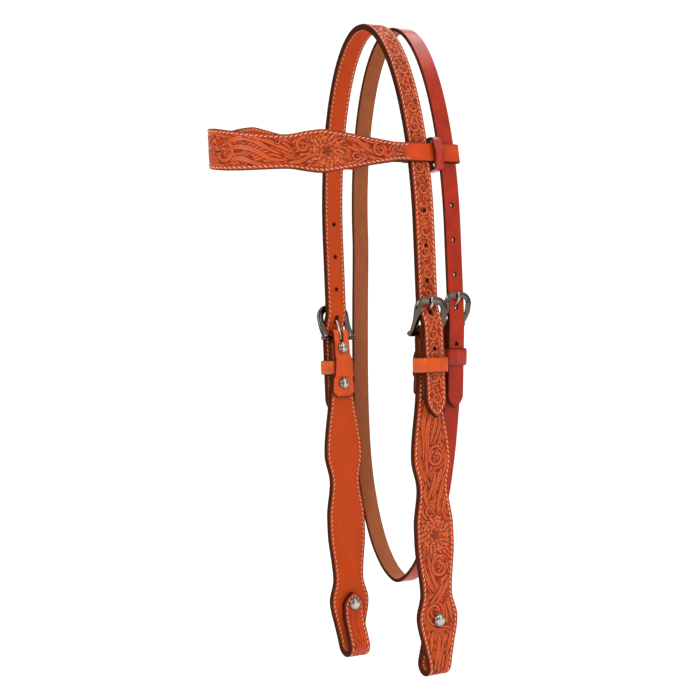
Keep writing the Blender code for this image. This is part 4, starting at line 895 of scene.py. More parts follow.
# one wave of the tooling: a scroll round its eye and the two lobes beside it
crownWave = {
    "pitch": 0.0172, "start": 0.0135, "veins": 0.0021, "sway": 0.0022, "eye": (3.0, 0.4),
    "reach": 0.0068, "scroll": (0.0056, 1.2, 1.15, 0.0024), "end": 0.004,
    # points ahead of the wave's place and across it, and the lobe's width, all in mm
    "fronds": [([(-8.5, -4.8), (-1, -5.0), (6.2, -2.2)], 2.6),
               ([(-7.0, 5.2), (-3.5, 1.8), (-5.2, -2.2)], 2.2)],
}
cheekSpan = crown["halfSpan"] - 0.0030
cheekBar = np.array([cheekSpan, 0, -0.2585])
chapeOutside = layerHalf + sheetGap + 0.0024
billetOffset = chapeOutside + 0.0009 + 2 * sheetGap + layerHalf
seatAngle = math.asin(crown["seat"] / 2 / crown["halfSpan"])
archCentre = layerHalf - crown["rise"] * math.cos(seatAngle)


def crownRoute():
    lapTop = np.array([crown["halfSpan"], 0, cheekBar[2] + crown["lapStart"]])
    lapFoot = np.array([cheekSpan + billetOffset, 0, cheekBar[2] + crown["lapEnd"]])
    near = np.concatenate([
        arcPoints((0, 0, archCentre), crown["halfSpan"], crown["rise"],
                  math.pi / 2 - seatAngle, 0),
        easePoints(lapTop, lapFoot, axisZ),
        [lapFoot - axisZ * (crown["lapEnd"] + crown["tipDrop"])]])
    return makeRoute([near[::-1] * (-1, 1, 1), near], axisY)


crownLine = crownRoute()


def crownHalf(place):
    tip = pointedTip(crownLine["length"], crown["point"], billetPower)
    return crown["width"] / 2 * tip(np.maximum(place, crownLine["length"] - place))


def crownHoles():
    near = billetHoles(placeNear(crownLine, cheekBar + crown["tongue"]), crown)
    return near + [(crownLine["length"] - p, a, b) for p, a, b in near]


def crownRelief():
    # a running wave of scrolls and leaves; the two halves mirror each other at the poll
    wave, middle = crownWave, crownLine["length"] / 2
    ahead, aside = np.array(wave["eye"]) * mm
    panel = ToolingPanel(0, middle + 0.001, crown["width"] / 2)
    panel.flow(wave["veins"], [
        (eye, aside * (-1) ** k, wave["reach"], (-1) ** k)
        for k, eye in enumerate(np.arange(wave["start"] + ahead, middle, wave["pitch"]))],
        wave["sway"], 2 * wave["pitch"])
    place, side = wave["start"], 1
    while place < middle - wave["end"]:
        for points, width in wave["fronds"]:
            panel.frond([(place + a * mm, side * b * mm) for a, b in points], width * mm)
        radius, turn, sweep, width = wave["scroll"]
        panel.scroll(place + ahead, side * aside, radius, side * turn, side * sweep, width)
        place += wave["pitch"]
        side = -side

    def relief(place, across, edge):
        place = np.where(place > middle, 2 * middle - place, place)
        return borderedRelief(panel.read(place, across), edge, crown["toolingInset"])

    return relief


crownPlans = sewingPlan(crownHalf, 0, crownLine["length"], crown["sewingInset"], "both",
                        everywhere, everywhere)
crownPieces = sewLayers("crown", crownLine, crownHalf, crownPlans, 0.00062, (34, 26),
                        crownHoles(), crownRelief())
for piece, (layer, slot) in zip(crownPieces, layers):
    finishPiece(piece, "headstall", layerNodes("crown", layer), slot)
print("crown strap sewn")

# cheek pieces, scalloped, their lower ends folded up into the bit loops

cheek = {
    "drop": 0.2805, "top": 0.0045, "bitBend": 0.0042, "loopHeight": 0.0248, "loopEase": 0.0045,
    "screwRise": 0.0460, "flapTip": 0.0102, "flapPoint": 0.0130, "flapPower": 2.2,
    "flapWidth": 0.0195, "firstScrew": 0.0089, "secondScrew": 0.0405, "toolingInset": 0.0036,
    "sewingInset": 0.0023, "sewnFront": 0.0335, "sewnBack": 0.0530, "bitLap": 0.0275,
    "plainShare": 0.75, "plainStart": 0.006, "plainEase": 0.012,
}
bitScrewDrop = cheek["drop"] - cheek["screwRise"]
flapOffset = 2 * layerHalf + sheetGap
bitLoopTop = cheek["drop"] - cheek["bitBend"] - 2 * layerHalf - cheek["loopHeight"] + 0.004


def cheekRoute():
    turn = cheek["bitBend"] + layerHalf
    centre = cheekBar - axisZ * (cheek["drop"] - turn - layerHalf) - axisX * turn
    lap = np.array([cheekSpan - flapOffset, 0, centre[2] + cheek["loopHeight"]])
    reach = lap - centre
    lean = math.asin(turn / np.linalg.norm(reach)) + math.atan2(reach[0], reach[2])
    bend = arcPoints(centre, turn, turn, 0, -math.pi - lean)
    rise = (lap - bend[-1]) / np.linalg.norm(lap - bend[-1])
    first = lap - rise * cheek["loopEase"]
    last = lap + axisZ * cheek["loopEase"]
    t = np.linspace(0, 1, 9)[:, None]
    ease = first * (1 - t) ** 2 + lap * 2 * t * (1 - t) + last * t * t
    tip = np.array([lap[0], 0, cheekBar[2] - bitScrewDrop + cheek["flapTip"]])
    return makeRoute([cheekBar, bend, ease, tip], axisY)


cheekLine = cheekRoute()


def cheekHalf(place):
    drop, length = cheek["drop"], cheekLine["length"]
    outline = widthCurve([
        (cheek["top"], 0.0192), (0.0330, 0.0198), (0.0525, 0.0236),
        (drop * 0.369, 0.0370), (drop * 0.451, 0.0285), (drop * 0.5865 - 0.006, 0.0370),
        (drop * 0.5865 + 0.006, 0.0370), (drop * 0.7575, 0.0293), (drop * 0.828, 0.0384),
        (bitScrewDrop + 0.0205, 0.0294), (bitScrewDrop + 0.0335, 0.0236), (drop, 0.0202),
        (length - cheek["flapPoint"], cheek["flapWidth"])])
    return outline(place) * pointedTip(length, cheek["flapPoint"], cheek["flapPower"])(place)


# from the buckle down, in mm: a leaf, a scroll, a leaf at the waist, the flower, then a
# scroll, a waist leaf, a scroll round the screw and fronds that run into the loop
cheekFronds = [
    ([(55, -4), (66, -6), (77, -8), (92, -8), (107, -9.5)], 4.2),
    ([(61, 1), (70, -1), (80, -4), (94, -4.5), (110, -6), (121, -3)], 4.4),
    ([(62, 5.5), (74, 4.5), (84, 1), (92, -2)], 4.0),
    ([(66, 9), (78, 8), (87, 4), (93, 0)], 3.2),
    ([(80, 10.5), (88, 8), (95, 3)], 3.0),
    ([(98, 13), (108, 14), (117, 10), (124, 5)], 4.0),
    ([(110, 9.5), (118, 6), (128, 1.5), (136, -3)], 3.8),
    ([(112, 3), (122, 0.5), (132, -4), (140, -9.5)], 3.4),
    ([(114, 13), (126, 9), (138, 4.5), (149, 2)], 4.2),
    ([(122, -7), (132, -9), (142, -6), (150, -1)], 3.6),
    ([(134, 10.5), (142, 9.5), (150, 5.5)], 3.2),
    ([(140, -13), (148, -11), (153, -6)], 3.0),
    ([(186, -14), (196, -11), (206, -7), (214, -2)], 4.0),
    ([(180, -9), (192, -6), (203, -3), (213, 2.5)], 3.6),
    ([(200, 12), (208, 8), (216, 2), (224, -4)], 3.8),
    ([(204, 6.5), (212, 1), (218, -5), (222, -10.5)], 3.0),
    ([(210, 11), (220, 10), (229, 12), (240, 14)], 3.4),
    ([(246, 6), (254, 4), (264, 0), (277, -3)], 4.2),
    ([(246, 0), (256, -1), (266, -4), (278, -6.5)], 3.6),
    ([(243, -6), (251, -8), (262, -8.5)], 3.4),
    ([(243, 12), (250, 11), (258, 8), (268, 5.5)], 3.6),
    ([(262, 9), (272, 6), (282, 3)], 2.8),
]
# place, side, radius, turn, sweep and width
cheekScrolls = [
    (101.5, 4.2, 9.6, 2.4, 1.35, 3.3), (191.5, 3.6, 10.2, 2.2, 1.35, 3.4),
    (228.0, -3.0, 11.0, 0.6, -1.0, 3.2), (145.0, -4.6, 5.0, 1.0, -1.15, 2.3),
    (214.5, 10.2, 4.4, -1.2, 1.1, 2.2), (257.0, 5.6, 4.2, 2.6, 1.1, 2.0),
    (56.0, 3.5, 5.0, 2.2, 1.1, 2.2),
]


def cheekRelief():
    panel = ToolingPanel(0.040, 0.300, 0.0200)
    panel.draw(0.0026, 0.0045, 0.052, cheekFronds, cheekScrolls)
    panel.leaf(0.1530, -0.0075, 0.013, 0.35, 0.5, 4, 0.0030)
    panel.leaf(0.1770, 0.0075, 0.012, 3.5, 0.5, 4, 0.0030)
    panel.leaf(0.1790, -0.0080, 0.010, 2.9, 0.5, 3, 0.0028)
    panel.leaf(0.1525, 0.0085, 0.010, -0.4, 0.5, 3, 0.0028)
    panel.flower(0.1652, 0.0, 0.0118, 0.3)

    def relief(place, across, edge):
        # the folded flap is almost plain
        left = 1 - cheek["plainShare"] * eased(
            (place - cheek["drop"] - cheek["plainStart"]) / cheek["plainEase"])
        return [layer * left for layer in borderedRelief(
            panel.read(place, across), edge, cheek["toolingInset"])]

    return relief


def cheekSewnFront(place):
    return place > cheek["sewnFront"]


def cheekSewnBack(place):
    # no thread shows under the chape's leg or between the cheek and its folded flap
    level = cheekBar[2] - alongRoute(cheekLine, place)[0][:, 2]
    covered = np.where(place < cheek["drop"], bitScrewDrop + cheek["bitLap"],
                       bitScrewDrop - cheek["flapTip"] - 0.002)
    return (place > cheek["sewnBack"]) & ~((level > covered) & (level < bitLoopTop))


cheekHoles = barrelHoles([cheek["firstScrew"], cheek["secondScrew"], bitScrewDrop,
                          cheekLine["length"] - cheek["flapTip"]])
cheekPlans = sewingPlan(cheekHalf, cheek["top"], cheekLine["length"], cheek["sewingInset"],
                        "last", cheekSewnFront, cheekSewnBack)
cheekPieces = sewLayers("leftCheek", cheekLine, cheekHalf, cheekPlans, 0.00056, (66, 44),
                        cheekHoles, cheekRelief(), cheek["top"])
for piece, (layer, slot) in zip(cheekPieces, layers):
    bothSides(piece, "Cheek" + layer, layerNodes("cheek", layer), slot)
print("cheek pieces sewn")

# chapes: tabs folded round the buckle bars, their legs on both sides of the cheek's top

chape = {
    "leather": 0.0024, "leg": 0.0525, "spread": 0.0060, "keeperDrop": 0.0263,
    "keeperWidth": 0.0126, "ramp": 0.0029, "longRamp": 0.0056, "keeperLeather": 0.0020,
    "bar": 0.0016, "foldRise": 0.0026, "narrow": 0.0088, "clip": 0.0070, "slotWidth": 0.00158,
    "slotReach": 0.0044,
}
chapeMiddle = layerHalf + sheetGap + chape["leather"] / 2
chapeFold = chape["bar"] + sheetGap + chape["leather"] / 2


def chapeRoute():
    foot = -axisZ * chape["leg"]
    bulge = -axisX * (chapeMiddle + chape["keeperLeather"] + sheetGap)
    keeperTop = chape["keeperDrop"] - chape["keeperWidth"] / 2 - sheetGap
    keeperFoot = chape["keeperDrop"] + chape["keeperWidth"] / 2 + sheetGap
    parts = [
        [axisX * chapeMiddle + foot],
        easePoints(axisX * chapeMiddle - axisZ * chape["spread"], axisX * chapeFold, axisZ),
        arcPoints((0, 0, chape["foldRise"]), chapeFold, chapeFold, 0, math.pi),
        easePoints(-axisX * chapeFold, -axisX * chapeMiddle - axisZ * chape["spread"], axisZ),
        easePoints(-axisX * chapeMiddle - axisZ * (keeperTop - chape["longRamp"]),
                   bulge - axisZ * keeperTop, axisZ),
        easePoints(bulge - axisZ * keeperFoot,
                   -axisX * chapeMiddle - axisZ * (keeperFoot + chape["ramp"]), axisZ),
        [-axisX * chapeMiddle + foot],
    ]
    return makeRoute([cheekBar + np.atleast_2d(part) for part in parts], -axisY)


chapeLine = chapeRoute()
chapeTop = placeNear(chapeLine, cheekBar + axisZ * (chapeFold + chape["foldRise"]))


def chapeHalf(place):
    leg = chape["leg"] + chapeFold * math.pi / 2 + chape["foldRise"]
    outline = widthCurve([(0, 0.0158), (leg * 0.25, 0.0158),
                          (leg - chape["leg"] + chape["keeperDrop"], 0.0182), (leg, 0.0228)])
    # the leg under the billet stays narrow; the one that shows flares to clipped corners
    flare = outline(np.abs(place - chapeTop))
    clipped = np.minimum(flare, chape["clip"] + np.maximum(chapeLine["length"] - place, 0))
    return np.where(place < chapeTop, np.minimum(flare, chape["narrow"]), clipped)


def chapeHoles():
    slot = chapeFold * math.pi / 2 + chape["foldRise"] + chape["slotReach"]
    return [(chapeTop, slot, chape["slotWidth"])] + barrelHoles([
        placeNear(chapeLine, cheekBar + axisX * side * chapeMiddle - axisZ * drop)
        for drop in (cheek["firstScrew"], cheek["secondScrew"]) for side in (1, -1)])


leftChape = makeStrap(
    "leftBuckleChape", finishes["chape"], chapeLine, chapeHalf, -chape["leather"] / 2,
    chape["leather"] / 2, 0.0006, 30, chapeHoles(), None, 0.0005, 0.0004)
bothSides(leftChape, "BuckleChape", ["buckle_chape"], "tooled_leather")
print("chapes folded")

# keepers: short bands of glazed leather closed round what they hold

keeper = {"leather": 0.0020, "corner": 0.0016, "sidePlay": 0.00045, "holds": 0.0198,
          "roundTop": 0.0008, "roundUnder": 0.0004, "crowned": 0.0004}


def keeperRing(name, material, low, high, corner, width, centre, across, along, bulge):
    # a closed band round the box from low to high, bulging at its back and its front; it
    # starts and ends at the middle of the back
    side = np.cross(along, across)
    reach = (high[1] - low[1]) / 2 - corner
    middle = (high[1] + low[1]) / 2

    def face(x, swell, start, end):
        y = np.linspace(start, end, 13)
        return np.stack([x + swell * (0.5 + 0.5 * np.cos(math.pi * y / reach)), middle + y], 1)

    def bend(sx, sy, quarter):
        turn = np.linspace(0, math.pi / 2, 9) + math.pi / 2 * quarter
        return np.stack([(high if sx > 0 else low)[0] - sx * corner + corner * np.cos(turn),
                         (high if sy > 0 else low)[1] - sy * corner + corner * np.sin(turn)], 1)

    loop = np.concatenate([
        face(low[0], -bulge[0], 0, -reach), bend(-1, -1, 2), bend(1, -1, 3),
        face(high[0], bulge[1], -reach, reach), bend(1, 1, 0), bend(-1, 1, 1),
        face(low[0], -bulge[0], reach, 0)])
    line = makeRoute([centre + np.outer(loop[:, 0], across) + np.outer(loop[:, 1], side)], along)
    return makeStrap(name, material, line, width / 2, 0, keeper["leather"], 0.0006, 16,
                     roundTop=keeper["roundTop"], roundUnder=keeper["roundUnder"], closed=True,
                     crowned=keeper["crowned"])


cheekKeeper = keeperRing(
    "leftCheekKeeper", finishes["keeper"],
    (-layerHalf - sheetGap, -keeper["holds"] / 2 - sheetGap),
    (billetOffset + layerHalf + sheetGap, keeper["holds"] / 2 + sheetGap),
    keeper["corner"], chape["keeperWidth"], cheekBar - axisZ * chape["keeperDrop"], axisX,
    axisZ, (0, 0.0015))
bothSides(cheekKeeper, "CheekKeeper", ["cheek_keeper"], "lining_leather")
print("cheek keepers closed")

# throat latch: one thickness of latigo, folded round its own buckle bar

throat = {
    "width": 0.0159, "setback": 0.0290, "barDrop": 0.2520, "lean": math.radians(5.5),
    "leg": 0.0500, "tipDrop": 0.0690, "point": 0.0110, "depth": 0.3000, "straight": 0.0100,
    "firstScrew": 0.0105, "secondScrew": 0.0425, "keeperDrop": 0.0265, "keeperWidth": 0.0140,
    "bar": 0.0015, "hole": 0.0014, "camber": 0.0165, "pitch": 0.0286, "slotHalf": 0.0031,
    "slotWidth": 0.0015, "slotRise": 0.0030, "tongue": (0.0093, 0, 0.0125),
    "foldSlot": (0.0041, 0.00148),
    # the hanging loop, near side first: parts of the arch's half span and of the depth
    "loop": [(0.820, 0.503), (0.715, 0.617), (0.580, 0.725), (0.440, 0.806), (0.250, 0.889),
             (0.000, 0.958), (-0.300, 0.996), (-0.560, 0.975), (-0.780, 0.920),
             (-0.930, 0.852), (-1.040, 0.772), (-1.115, 0.680), (-1.145, 0.560),
             (-1.130, 0.400), (-1.070, 0.200)],
}
throatBar = np.array([crown["halfSpan"] - 0.0080, throat["setback"], -throat["barDrop"]])
throatFold = throat["bar"] + sheetGap + throatLeather / 2
throatReturn = throatFold - throatLeather - keeper["leather"] - 2 * sheetGap
throatLap = throatFold + throatLeather + 0.0009 + 2 * sheetGap
throatOut = np.array([math.cos(throat["lean"]), 0, -math.sin(throat["lean"])])
throatDown = np.array([-math.sin(throat["lean"]), 0, -math.cos(throat["lean"])])


def byThroatBar(out, down):
    return throatBar + throatOut * out + throatDown * down


def throatRoute():
    turnIn = throat["firstScrew"] - barrelHole * 2
    parts = [[byThroatBar(throatReturn, throat["leg"])],
             easePoints(byThroatBar(throatReturn, turnIn), byThroatBar(-throatFold, 0),
                        throatDown)]
    turns = np.linspace(math.pi, 0, 91)
    parts.append(throatBar + np.outer(np.cos(turns) * throatFold, throatOut)
                 - np.outer(np.sin(turns) * throatFold, throatDown))
    knots = [byThroatBar(throatFold, throat["leg"]),
             byThroatBar(throatFold, throat["leg"] + throat["straight"])]
    for span, deep in throat["loop"]:
        knots.append(np.array([crown["halfSpan"] * span, throat["setback"],
                               archCentre - throat["depth"] * deep]))
    spring = np.array([-crown["halfSpan"], throat["setback"], archCentre])
    knots += [spring, spring + axisZ * throat["straight"] * 5]
    parts.append(curvePoints(knots, 0.0015))
    parts.append(arcPoints((0, throat["setback"], archCentre), crown["halfSpan"],
                           crown["rise"], math.pi, 0)[1:])
    lap = byThroatBar(throatLap, 0)
    kink = np.array([crown["halfSpan"], throat["setback"], throatBar[2] + throat["camber"]])
    side = np.linalg.norm(kink - lap) / 3
    b, c = kink - axisZ * side, lap - throatDown * side
    t = np.linspace(0, 1, easeSteps)[:, None]
    parts.append(kink * (1 - t) ** 3 + b * 3 * t * (1 - t) ** 2 + c * 3 * t * t * (1 - t)
                 + lap * t ** 3)
    parts.append([byThroatBar(throatLap, throat["tipDrop"])])
    return makeRoute(parts, axisY)


throatLine = throatRoute()


def throatHalf(place):
    tip = pointedTip(throatLine["length"], throat["point"], billetPower)
    return throat["width"] / 2 * tip(place)


def throatHoles():
    points, places = throatLine["points"], throatLine["places"]
    late = places > throatLine["length"] / 2
    away = np.linalg.norm(points - throatBar - throat["tongue"], axis=1)
    tongue = places[np.argmin(np.where(late, away, np.inf))]
    outerBar = placeNear(throatLine, byThroatBar(throatFold, 0))
    screws = [place for drop in (throat["firstScrew"], throat["secondScrew"])
              for place in (throat["leg"] - drop, outerBar + drop)]
    fold = placeNear(throatLine, byThroatBar(0, -throatFold))
    reach, width = throat["foldSlot"]
    return billetHoles(tongue, throat) + barrelHoles(screws) + [
        (fold, throatFold * math.pi / 2 + reach, width)]


throatStrap = makeStrap(
    "throatLatchStrap", finishes["latigo"], throatLine, throatHalf, -throatLeather / 2,
    throatLeather / 2, 0.00105, 22, throatHoles(), None, 0.0007, 0.0005)
finishPiece(throatStrap, "throat", ["throat_strap"], "latigo_leather")
throatSide = throat["width"] / 2 + keeper["sidePlay"]
throatKeeper = keeperRing(
    "throatLatchKeeper", finishes["glazedLatigo"],
    (throatFold - throatLeather / 2 - sheetGap, -throatSide),
    (throatLap + throatLeather / 2 + sheetGap, throatSide), keeper["corner"],
    throat["keeperWidth"], byThroatBar(0, throat["keeperDrop"]), throatOut, -throatDown,
    (0.0003, 0.0013))
finishPiece(throatKeeper, "throat_loop", ["throat_keeper"], "latigo_leather")
print("throat latch folded")

# browband: tooled round the brow, its plain tabs looped round both straps

band = {
    "drop": 0.1113, "farRise": 0.0165, "riseStart": 0.25, "riseEnd": 0.86, "reach": 0.1515,
    "tab": 0.0156, "loopPlay": 0.0009, "endPlay": 0.0017, "setback": 0.0030, "lap": 0.0150,
    "step": 0.0080, "leanRun": 0.0600, "ringWidth": 0.0092,
    "ringRise": 0.0030, "ringDrop": 0.0052, "ringPlay": 0.0005, "ringCorner": 0.0030,
    "toolingStart": 0.0125, "toolingInset": 0.0033, "curve": 0.0035, "curveHalf": 0.0078,
    "sewingInset": 0.0021, "sewnBack": 0.0330,
}
nearLevel = -band["drop"]
farLevel = nearLevel + band["farRise"]


def strapLean(level):
    share = (level - archCentre) / crown["rise"]
    across = math.sqrt(1 - share * share)
    return crown["halfSpan"] * across, math.atan(
        crown["halfSpan"] * share / (crown["rise"] * across))


def bandOut(level):
    span, lean = strapLean(level)
    return span + layerHalf / math.cos(lean) + band["loopPlay"] - sheetGap / 2


def bandSide(level, far):
    span, lean = strapLean(level)
    throatHalfSpan = throatLeather / 2 / math.cos(lean) + band["loopPlay"]
    lone = sheetGap / 2
    lineOut = bandOut(level)
    throatX, throatBack = span + throatHalfSpan - lone, span - throatHalfSpan + lone
    crownBack = 2 * span - lineOut
    crownEdge = crown["width"] / 2
    front = throat["setback"] - throat["width"] / 2
    rear = throat["setback"] + throat["width"] / 2 + band["endPlay"] - throatHalfSpan
    turn = np.linspace(0, 1, 121)
    share = (1 + turn) / 2 if far else (1 - turn) / 2
    level1 = nearLevel + band["farRise"] * eased(
        (share - band["riseStart"]) / (band["riseEnd"] - band["riseStart"]))
    parts = [np.stack([lineOut * np.sin(math.pi / 2 * turn),
                       -band["reach"] * np.cos(math.pi / 2 * turn), level1], 1)]
    parts.append(easePoints(np.array([lineOut, crownEdge, level]),
                            np.array([throatX, front, level]), axisY))
    radius = (throatX - throatBack) / 2
    turns = np.linspace(math.pi / 2, -math.pi / 2, 61)
    parts.append(np.stack([span + radius * np.sin(turns), rear + radius * np.cos(turns),
                           np.full(61, level)], 1))
    parts.append(easePoints(np.array([throatBack, front, level]),
                            np.array([crownBack, crownEdge, level]), -axisY))
    ahead = (-crownEdge - band["setback"] - band["step"] / 2
             - np.linspace(0, band["lap"], 12))
    out = lineOut * np.sqrt(1 - (ahead / band["reach"]) ** 2)
    lap = np.stack([out - layerHalf - sheetGap + lone, ahead, np.full(12, level)], 1)
    parts.append(easePoints(np.array([crownBack, -crownEdge - sheetGap, level]), lap[0],
                            -axisY))
    return np.concatenate(parts + [lap[1:]])


def bandRoute():
    far = bandSide(farLevel, True)[::-1] * (-1, 1, 1)
    nearLean, farLean = strapLean(nearLevel)[1], strapLean(farLevel)[1]

    def across(points):
        lean = np.where(points[:, 0] > 0, nearLean, farLean) * (
            1 - eased((-crown["width"] / 2 - points[:, 1]) / band["leanRun"]))
        return np.stack([-np.sin(lean * np.sign(points[:, 0])), 0 * lean, np.cos(lean)], 1)

    return makeRoute([far, bandSide(nearLevel, False)[1:]], across)


bandLine = bandRoute()
farStart = placeNear(bandLine, (-bandOut(farLevel), 0, farLevel))
nearStart = placeNear(bandLine, (bandOut(nearLevel), 0, nearLevel))
bandMiddle = (nearStart - farStart) / 2


def bandHalf(place):
    outline = widthCurve([
        (0, band["tab"]), (0.0220, band["tab"]), (0.0320, 0.0180), (0.0760, 0.0316),
        (0.0880, 0.0345), (0.0980, 0.0325), (0.1170, 0.0270), (bandMiddle, 0.0325)])
    return outline(aheadOfCrown(place))


# in mm, from the near crown strap's middle to the middle of the brow
bandFronds = [
        ([(170, 3), (158, 9), (146, 10), (132, 3), (118, -4)], 4.4),
        ([(168, -2), (156, 3), (142, 1), (128, -6), (112, -7)], 4.2),
        ([(152, 12), (140, 11), (128, 7), (116, 1), (107, -2)], 4.0),
        ([(146, 13.5), (134, 12), (122, 9)], 3.2),
        ([(164, -8), (152, -6), (140, -9.5), (128, -11)], 3.8),
        ([(158, -13), (148, -12), (139, -13.5)], 3.0),
        ([(132, 12), (123, 10), (116, 8.5), (112, 5)], 3.0),
        ([(116, -9), (106, -8), (99, -4), (96, 1)], 3.2),
        ([(68, 11), (60, 9), (52, 3), (44, -2), (36, -5)], 3.8),
        ([(70, -10.5), (60, -9), (50, -5), (41, -6.5), (30, -6)], 3.6),
        ([(68, 4), (61, 1), (54, -3), (48, -7)], 3.0),
        ([(56, 10), (47, 7.5), (38, 6.8), (28, 5.5)], 3.0),
        ([(26, 4), (21, 1), (15, 0)], 2.4), ([(28, -4), (22, -2.5), (16, -2)], 2.2),
]
bandScrolls = [
        (167.0, -2.0, 9.2, 1.4, 1.3, 3.2), (103.0, 4.5, 7.2, 2.8, -1.25, 2.8),
        (124.0, 8.0, 3.8, 0.4, 1.1, 1.9), (39.0, 0.8, 6.6, 2.4, -1.3, 2.6),
        (60.0, -3.5, 4.6, 2.6, 1.15, 2.2), (24.0, 0.2, 4.4, 2.4, -1.1, 2.0),
]


def aheadOfCrown(place):
    return np.minimum(place - farStart, nearStart - place)


def bandRelief():
    panel = ToolingPanel(0, bandMiddle + 0.001, 0.0180)
    panel.draw(0.0025, -0.0040, 0.058, bandFronds, bandScrolls)
    panel.leaf(bandMiddle - 0.0075, 0.0, 0.011, 0.0, 0.75, 5, 0.0030)
    panel.frond([(bandMiddle, 0.0125), (bandMiddle - 0.007, 0.0118),
                 (bandMiddle - 0.013, 0.0095)], 0.0032)
    panel.frond([(bandMiddle, -0.0125), (bandMiddle - 0.007, -0.0122),
                 (bandMiddle - 0.014, -0.0118)], 0.0032)
    for x, reach, turn in ((0.0950, 0.011, 0.9), (0.0735, 0.009, 2.3)):
        for side in (-1, 1):
            panel.leaf(x, side * 0.0060, reach, side * turn, 0.5, 3, 0.0028)
    panel.flower(0.0840, 0.0, 0.0108, 0.1)

    def relief(place, across, edge):
        fromCrown = aheadOfCrown(place)
        # the tooling ends at a curved border a little ahead of the crown strap
        start = band["toolingStart"] + band["curve"] * (1 - (across / band["curveHalf"]) ** 2)
        edge = np.minimum(edge, np.maximum(fromCrown - start, 0) + 0.0030)
        edge = np.where(fromCrown < start, 0.0, edge)
        return borderedRelief(panel.read(np.maximum(fromCrown, 0), across), edge,
                              band["toolingInset"])

    return relief


def bandSewnFront(place):
    lapped = np.minimum(place, bandLine["length"] - place) < band["lap"] - 0.001
    return (aheadOfCrown(place) > band["toolingStart"]) | lapped


def bandSewnBack(place):
    return aheadOfCrown(place) > band["sewnBack"]


bandPlans = sewingPlan(bandHalf, 0, bandLine["length"], band["sewingInset"], "none",
                       bandSewnFront, bandSewnBack)
bandInset = crown["width"] / 2 + band["setback"]
bandPieces = sewLayers("browband", bandLine, bandHalf, bandPlans, 0.00068, (54, 42), (),
                       bandRelief(), 0, 0.0004,
                       (farStart + bandInset, nearStart - bandInset))
for piece, (layer, slot) in zip(bandPieces, layers):
    finishPiece(piece, "browband", layerNodes("browband", layer), slot)
ringMiddle = (crown["width"] / 2 + throat["setback"] - throat["width"] / 2) / 2
for side, level, body in (("left", nearLevel, "left_ring"), ("right", farLevel, "right_ring")):
    span, lean = strapLean(level)
    deep = strapLeather + band["ringPlay"] + band["loopPlay"] + layerHalf / math.cos(lean)
    tall = band["tab"] / 2
    ring = keeperRing(
        side + "BrowbandKeeper", finishes["glazedLatigo"], (-deep, -tall - band["ringDrop"]),
        (deep, tall + band["ringRise"]), band["ringCorner"], band["ringWidth"],
        np.array([span, ringMiddle, level]), np.array([math.cos(lean), 0, math.sin(lean)]),
        -axisY, (0.0008, 0.0018))
    if side == "right":
        near, ring = ring, mirrorPiece(ring, "rightRingMade")
        bpy.data.objects.remove(near, do_unlink=True)
        ring.name = "rightBrowbandKeeper"
    finishPiece(ring, body, [side + "_browband_keeper"], "latigo_leather")
print("browband shaped")

# hardware: two-part screws, horseshoe buckles and their tongues, all buffed nickel

screw = {"head": 0.0045, "cap": 0.00475, "dome": 0.0020, "rim": 0.0006,
         "barrel": 0.0022, "shank": 0.0013, "bore": 0.0016, "reach": 0.0060,
         "bitCap": 0.0055, "bitDome": 0.0024, "throatCap": 0.0042, "throatHead": 0.0040,
         # a cap's small bevel, and where its painted rim shade starts as a share of its radius
         "bevel": 0.00012, "rimShadeFrom": 0.45}


def latheMetal(name, profile, centre, axis, sides=40, finish="polished"):
    bm = bmesh.new()
    verts = [bm.verts.new((radius, 0, height)) for radius, height in profile]
    edges = [bm.edges.new(pair) for pair in zip(verts, verts[1:])]
    bmesh.ops.spin(bm, geom=verts + edges, cent=(0, 0, 0), axis=(0, 0, 1),
                   angle=2 * math.pi, steps=sides, use_merge=True)
    bmesh.ops.remove_doubles(bm, verts=bm.verts[:], dist=0.000002)
    faceOutwards(bm)
    widest = max(radius for radius, _ in profile)
    shares = np.array([math.hypot(v.co.x, v.co.y) / widest for v in bm.verts])
    turn = Vector((0, 0, 1)).rotation_difference(Vector(axis)).to_matrix().to_4x4()
    bmesh.ops.transform(bm, matrix=Matrix.Translation(Vector(centre)) @ turn,
                        verts=bm.verts[:])
    mesh = meshFrom(bm, name)
    # painted shade towards the rim, from this share of the radius outwards
    shadeStart = screw["rimShadeFrom"]
    setAttribute(mesh, "paintedRimShade", "FLOAT", "value", eased((shares - shadeStart) / (1 - shadeStart)))
    smoothMesh(mesh, 45)
    return placeObject(name, mesh, finishes[finish])


def domeProfile(radius, dome, stemRadius, stem, bore=None):
    rim = screw["rim"]
    profile = [(0, dome + rim)]
    for turn in np.linspace(0, math.pi / 2, 9)[1:-1]:
        profile.append((radius * math.sin(turn) ** 0.9, rim + dome * math.cos(turn)))
    profile += [(radius - screw["bevel"], rim + 0.0002), (radius, rim),
                (radius, screw["bevel"]), (radius - screw["bevel"], 0),
                (stemRadius, 0), (stemRadius, -stem)]
    if bore:
        return profile + [(bore, -stem), (bore, -sheetGap), (0, -sheetGap)]
    return profile + [(0, -stem)]


def flatProfile(radius):
    return [(0, 0.00055), (0.0021, 0.00055), (0.0024, 0.00088), (radius - 0.0004, 0.0009),
            (radius, 0.0006), (radius, 0), (screw["shank"], 0),
            (screw["shank"], -screw["reach"]), (0, -screw["reach"])]


def capProfile(radius, dome, stem):
    return domeProfile(radius, dome, screw["barrel"], stem, screw["bore"])


def screwPair(name, cap, head, capSpot, headSpot, axis):
    # the cap looks along the axis, and its screw enters the barrel from the other side; each
    # comes with the ends of its piece's and its solid's name
    yield latheMetal(name + "Cap", cap, capSpot, axis), "Cap", "_cap"
    yield latheMetal(name, head, headSpot, -axis), "", ""


